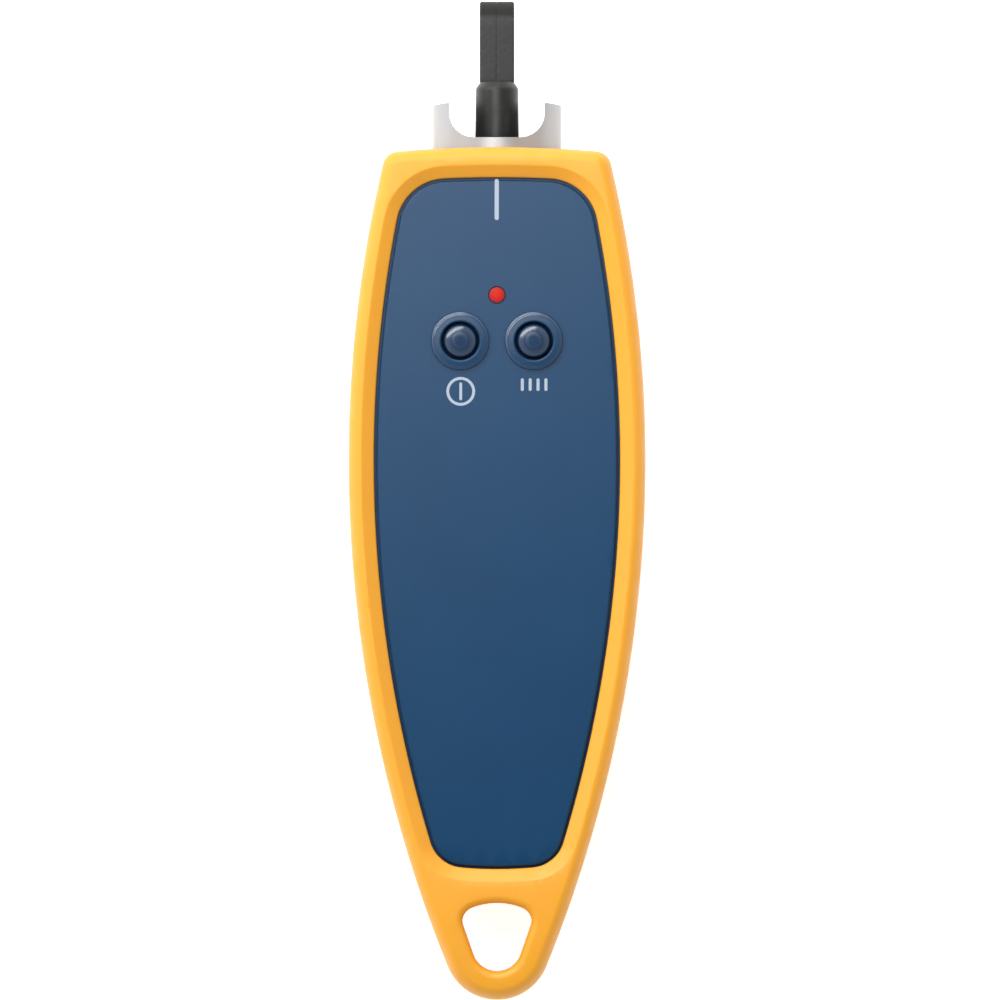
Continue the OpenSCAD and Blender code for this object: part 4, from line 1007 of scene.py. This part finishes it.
for name, spot in zip(("power", "flash"), key_spots):
    dome = make_mesh(name + "_dome", *turned(key_profile(), 72, spot, "z"))
    places = spots_of(dome)
    off_pad = (np.hypot(*(places[:, :2] - spot).T) / KEY_R - PAD_SHARE) / PAD_FADE_SHARE
    off_side = (places[:, 2] - PANEL_Z - SHEEN_FOOT) / SHEEN_FADE
    paint(dome, "gloss", np.clip(off_pad, 0, 1) * np.clip(off_side, 0, 1))
    make_piece(dome, name + "_key", "key_rubber", name + "_button")

# %% [markdown]
# ## The dust cap, its strap and the ring
#
# The cap is turned, with a rounded rim and a sloping shoulder. Its strap is a rounded bar carried
# along a path: up from the cap, over a half circle, and down behind it to the ring. A fine groove
# runs along it where the two halves of the mould met. The cap is on its own body and the ring on
# the case, and the strap is put on neither.

# %% Turn the cap and soften the ring
CAP_Y, CAP_TOP, CAP_R, CAP_BORE_R = 47.15, 55.55, 3.2, 2.55
CAP_SHOULDER, CAP_TAPER, CAP_ROOF, CAP_EDGE_R, RING_TOP = 1.1, 0.1, 1.8, 0.3, 46.0
STRAP_W, STRAP_T, BEND_R, STRAP_TOP, STRAP_EDGE_R, STRAP_OVERHANG = 5.05, 1.6, 3.1, 67.2, 0.35, 0.25
PATH_COUNTS = {"front": 24, "bend": 49, "back": 40}

cap_profile = rounded([(0.0, CAP_TOP - CAP_ROOF), (CAP_BORE_R, CAP_TOP - CAP_ROOF), (CAP_BORE_R, CAP_Y),
                       (CAP_R, CAP_Y), (CAP_R - CAP_TAPER, CAP_TOP - CAP_SHOULDER),
                       (STRAP_W / 2 - STRAP_OVERHANG, CAP_TOP), (0.0, CAP_TOP)], CAP_EDGE_R)
make_piece(make_mesh("soft_cap", *turned(cap_profile, 96)), "cap", "cap_rubber", "dust_cap")
softened("strap_ring", "ring_and_tab", "case", CASE_EDGE, "strap_rubber")


# %% Carry the strap's section along its path
def strap_path():
    """The strap's centre line in the Y-Z plane, with its unit normal, from the cap to the ring's tab."""
    bend_y = STRAP_TOP - BEND_R - STRAP_T / 2
    front = np.linspace(CAP_TOP, bend_y, PATH_COUNTS["front"])[:-1]
    t = np.linspace(0, math.pi, PATH_COUNTS["bend"])
    back = np.linspace(bend_y, RING_TOP, PATH_COUNTS["back"])[1:]
    y = np.concatenate([front, bend_y + BEND_R * np.sin(t), back])
    z = np.concatenate([np.full(len(front), PORT_Z), PORT_Z - BEND_R + BEND_R * np.cos(t),
                        np.full(len(back), PORT_Z - 2 * BEND_R)])
    ny = np.concatenate([0 * front, np.sin(t), 0 * back])
    nz = np.concatenate([1 + 0 * front, np.cos(t), -1 + 0 * back])
    return y, z, ny, nz


def strap_section():
    """Half width and half thickness of a bar with round corners, and a groove along its outer face."""
    w, h, r = STRAP_W / 2, STRAP_T / 2, STRAP_EDGE_R
    corners = [arc((x, y), r, a, a + 90, 6) for x, y, a in
               ((w - r, h - r, 0), (-w + r, h - r, 90), (-w + r, -h + r, 180), (w - r, -h + r, 270))]
    groove = [(0.34, h), (0.13, h), (0.04, h - 0.07), (-0.04, h - 0.07), (-0.13, h), (-0.34, h)]
    return np.vstack([corners[0], [(w - r, h)], groove, [(-w + r, h)], corners[1][1:], *corners[2:]])


def strap_surface():
    """Each section point runs beside the path, at its own distance along X and along the normal."""
    y, z, ny, nz = strap_path()
    u, v = strap_section().T
    x = np.broadcast_to(u, (len(y), len(u)))
    rings = np.stack([x, y[:, None] + ny[:, None] * v, z[:, None] + nz[:, None] * v], axis=2)
    return capped(rings, [[0, y[0], z[0]], [0, y[-1], z[-1]]])


strap = make_piece(make_mesh("soft_strap", *strap_surface()), None, "cap_rubber", "cap_strap",
                   "strap_rubber")
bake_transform(strap)

# %% [markdown]
# ## Small turned pieces
#
# The light pipe, the port's adapter and the two dry cells are all bodies of revolution, so each is a
# profile of rounded steps. The adapter's flange gets flutes for the fingers: its radius swings with
# the angle as a cosine. A cell is painted by attributes: bare steel at its ends, copper near its stud.

# %% The light pipe
PIPE_R, PIPE_LOW, PIPE_DOME = 1.15, 22.65, 0.28
COLLAR_OUT, COLLAR_LOW, COLLAR_TOP = 1.65, 23.6, 24.55

pipe_profile = [(0.0, PIPE_LOW), (PIPE_R, PIPE_LOW), (PIPE_R, COLLAR_LOW), (COLLAR_OUT, COLLAR_LOW),
                (COLLAR_OUT, COLLAR_TOP), (PIPE_R, COLLAR_TOP)]
pipe_profile += [(PIPE_R * (1 - c), PANEL_Z + PIPE_DOME * (1 - s)) for s, c in quarter(12)]
make_piece(make_mesh("light_pipe", *turned(pipe_profile, 64, (0.0, LAMP_Y), "z")), "case", "lamp_lens",
           "led_lens")

# %% The adapter with its flutes
ADAPTER_Y, ADAPTER_TOP, ADAPTER_R, SLEEVE_R = 46.15, 53.15, 2.5, 1.62
FLUTE_R, FLUTES, FLUTE_DEPTH, WALL_SLACK = 2.9, 28, 0.09, 0.05

adapter_profile = rounded(
    [(SLEEVE_R, ADAPTER_Y), (FLUTE_R - 0.12, ADAPTER_Y), (FLUTE_R, ADAPTER_Y + 0.12),
     (FLUTE_R, ADAPTER_Y + 0.78), (FLUTE_R - 0.12, ADAPTER_Y + 0.9), (ADAPTER_R, ADAPTER_Y + 0.9),
     (ADAPTER_R, ADAPTER_TOP - 1.5), (ADAPTER_R - 0.12, ADAPTER_TOP - 1.4),
     (ADAPTER_R - 0.12, ADAPTER_TOP - 1.1), (ADAPTER_R, ADAPTER_TOP - 1.0),
     (ADAPTER_R, ADAPTER_TOP - 0.3), (ADAPTER_R - 0.3, ADAPTER_TOP), (SLEEVE_R + 0.28, ADAPTER_TOP),
     (SLEEVE_R, ADAPTER_TOP - 0.28), (SLEEVE_R, ADAPTER_Y)], 0.05, 2)
adapter_points, adapter_faces = turned(adapter_profile, FLUTES * 8)
across, up = adapter_points[:, 0], adapter_points[:, 2] - PORT_Z
dent = FLUTE_DEPTH * (0.5 + 0.5 * np.cos(FLUTES * np.arctan2(up, across))) / FLUTE_R
shrink = 1 - dent * (np.hypot(across, up) > FLUTE_R - WALL_SLACK)
adapter_points = np.column_stack([across * shrink, adapter_points[:, 1], PORT_Z + up * shrink])
make_piece(make_mesh("port_adapter", adapter_points, adapter_faces), "case", "adapter_metal",
           "universal_adapter")

# %% The dry cells
CELL_X, CELL_Z, CELL_R, CELL_LEN, STUD_R = 7.4, 10.95, 7.25, 50.5, 2.6
BAY_TOP, BAY_LOW, PLATE_T = 26.2, -30.2, 0.5
CELL_SHOULDER = CELL_LEN - 1.0
SLEEVE_LOW, SLEEVE_TOP, COPPER_FROM, SEAM = 0.9, CELL_SHOULDER - 0.9, 37.0, 0.02
FINE_MERGE, CELL_SHARP_DEG = 0.0005, 50

wall_heights = (0.65, SLEEVE_LOW, SLEEVE_LOW + SEAM, COPPER_FROM, COPPER_FROM + SEAM, SLEEVE_TOP - SEAM,
                SLEEVE_TOP, CELL_SHOULDER - 0.6)
cell_profile = rounded(
    [(0.0, 0.25), (4.9, 0.25), (5.2, 0.0), (5.8, 0.0), (6.4, 0.3), (CELL_R - 0.3, 0.3)]
    + [(CELL_R, height) for height in wall_heights]
    + [(CELL_R - 0.5, CELL_SHOULDER), (4.2, CELL_SHOULDER), (3.9, CELL_SHOULDER - 0.35),
       (STUD_R + 0.3, CELL_SHOULDER - 0.35), (STUD_R, CELL_SHOULDER - 0.1), (STUD_R, CELL_LEN),
       (0.0, CELL_LEN)], 0.15, 3)


def cell(name, x, foot_y, way, node_name):
    """A dry cell with its flat end at foot_y, along way times Y, painted by height from that end."""
    points, faces = turned(cell_profile, 96, (x, CELL_Z))
    points[:, 1] = foot_y + way * points[:, 1]
    mesh = make_mesh(name, points, faces, CELL_SHARP_DEG, FINE_MERGE)
    places = spots_of(mesh)
    height = (places[:, 1] - foot_y) * way
    wide = np.hypot(places[:, 0] - x, places[:, 2] - CELL_Z) > CELL_R - WALL_SLACK
    sleeve = wide & (height > SLEEVE_LOW + SEAM / 2) & (height < SLEEVE_TOP - SEAM / 2)
    paint(mesh, "bare", ~sleeve)
    paint(mesh, "copper", sleeve & (height > COPPER_FROM + SEAM / 2))
    make_piece(mesh, "case", "cell_can", node_name)


cell("cell_left", -CELL_X, BAY_TOP - PLATE_T - CELL_LEN, 1, "battery_left")
cell("cell_right", CELL_X, BAY_LOW + PLATE_T + CELL_LEN, -1, "battery_right")

# %% [markdown]
# ## Springs and screws
#
# A contact spring is wire wound into a cone. Its centre line climbs as it turns and its radius shrinks
# on the way; a small circle carried along that line makes the wire. Both ends lie flat for half a
# turn, so that the coil stands square on its plate. The screws keep their CAD shape, softened.

# %% Wind the contact springs
WIRE_R, COIL_BIG, COIL_SMALL, COIL_TURNS, COIL_H = 0.27, 3.7, 1.95, 4.5, 4.9
COIL_POINTS, WIRE_SIDES = 260, 12
CASE_SCREW_EDGE, SMALL_SCREW_EDGE = 0.07, 0.05


def coil(x, foot_y, way):
    """A conical coil on foot_y, along way times Y: a circle carried along a line that climbs in turns."""
    u = np.linspace(0, 1, COIL_POINTS)
    angle = 2 * math.pi * COIL_TURNS * u
    radius = COIL_BIG + (COIL_SMALL - COIL_BIG) * u
    rise = np.clip((u * COIL_TURNS - 0.5) / (COIL_TURNS - 1.0), 0, 1)
    climb = WIRE_R + (COIL_H - 2 * WIRE_R) * rise
    line = np.column_stack([radius * np.cos(angle), climb, radius * np.sin(angle)])
    along = np.gradient(line, axis=0)
    along /= np.linalg.norm(along, axis=1)[:, None]
    out = np.column_stack([np.cos(angle), 0 * angle, np.sin(angle)])
    side = np.cross(along, out)
    t = 2 * math.pi * np.arange(WIRE_SIDES) / WIRE_SIDES
    rings = line[:, None, :] + WIRE_R * (np.cos(t)[None, :, None] * out[:, None, :]
                                         + np.sin(t)[None, :, None] * side[:, None, :])
    points, faces = capped(rings, [line[0], line[-1]])
    return points * [1, way, 1] + [x, foot_y, CELL_Z], faces


springs = together([coil(-CELL_X, BAY_LOW + PLATE_T, 1), coil(CELL_X, BAY_TOP - PLATE_T, -1)])
make_piece(make_mesh("wound_springs", *springs, merge_mm=FINE_MERGE), "case", "contact_metal",
           "contact_springs")
softened("cover_screws", "case_screws", "case", CASE_SCREW_EDGE, segments=2)
softened("board_screws", "small_screws", "case", SMALL_SCREW_EDGE, segments=2)

# %% [markdown]
# ## The markings
#
# The panel carries a few plain marks in pale ink: an index line that points to the port, a power sign
# under the left key, and a row of short bars, for a blinking light, under the right one. Each is a
# thin film of ink, raised a few hundredths of a millimetre, and no letters are drawn.

# %% Print the marks
INK_RISE, INK_SINK, INK_SHARP_DEG = 0.03, 0.01, 30


def ink_film(name, outer, *holes):
    """A thin flat film in the shape of an outline, with any holes, lying on the panel."""
    flat, tris = filled(outer, holes)
    faces = tris.tolist() + (tris[:, ::-1] + len(flat)).tolist()
    count = 0
    for loop in (outer, *holes):
        j = np.arange(len(loop))
        a, b = count + j, count + (j + 1) % len(loop)
        faces += np.column_stack([a, b, b + len(flat), a + len(flat)]).tolist()
        count += len(loop)
    points = np.vstack([level(flat, PANEL_Z + INK_RISE), level(flat, PANEL_Z - INK_SINK)])
    make_piece(make_mesh(name, points, faces, INK_SHARP_DEG, FINE_MERGE), "case", "cover_plastic",
               finish="ink")


def bar(x0, y0, x1, y1, width):
    """Outline of a straight stroke with round ends, from one centre point to the other."""
    a = bearing((x0, y0), (x1, y1))
    return np.vstack([arc((x0, y0), width / 2, a + 90, a + 270, 12),
                      arc((x1, y1), width / 2, a - 90, a + 90, 12)])


INDEX_X, INDEX_TOP, INDEX_LOW, INDEX_W = -0.04, 40.75, 35.35, 0.62
POWER_AT, POWER_R, POWER_HALF, POWER_W = (-5.3, 10.02), 2.1, 1.1, 0.41
PULSES, PULSE_X, PULSE_STEP, PULSE_LOW, PULSE_TOP, PULSE_W = 4, 3.7, 1.15, 10.3, 11.7, 0.45

ink_film("index_line", bar(INDEX_X, INDEX_LOW, INDEX_X, INDEX_TOP, INDEX_W))
ink_film("power_ring", arc(POWER_AT, POWER_R, 0, 360, 96), arc(POWER_AT, POWER_R - POWER_W, 0, 360, 96))
power_x, power_y = POWER_AT
ink_film("power_bar", bar(power_x, power_y - POWER_HALF, power_x, power_y + POWER_HALF, POWER_W))
for k in range(PULSES):
    x = PULSE_X + PULSE_STEP * k
    ink_film("pulse_bar_%d" % k, bar(x, PULSE_LOW, x, PULSE_TOP, PULSE_W))

# %% [markdown]
# ## The floor
#
# A plain pale floor carries the object. Straight from the camera, in a mirror or through glass it
# glows white like the photograph's background, and it is still a surface that takes a soft shadow.

# %% Floor
FLOOR_SIDE, FLOOR_GREY, FLOOR_GLOW = 4.0, 0.93, 0.7
half = FLOOR_SIDE / 2 / MM
corners = [(-half, -half, 0), (half, -half, 0), (half, half, 0), (-half, half, 0)]
floor_mesh = make_mesh("floor", corners, [[0, 1, 2, 3]])
placed("floor", floor_mesh)
floor_paint = Finish("floor_paint", 3 * (FLOOR_GREY,), 0.9, Emission_Color=(1.0, 1.0, 1.0, 1.0))
light_path = floor_paint.tree.nodes.new("ShaderNodeLightPath")
seen = light_path.outputs["Is Camera Ray"]
for kind in ("Is Glossy Ray", "Is Transmission Ray"):
    seen = floor_paint.larger(seen, light_path.outputs[kind])
floor_paint.drive("Emission Strength", seen, 0.0, FLOOR_GLOW)
floor_mesh.materials.append(floor_paint.material)
print("floor", FLOOR_SIDE, "m wide")
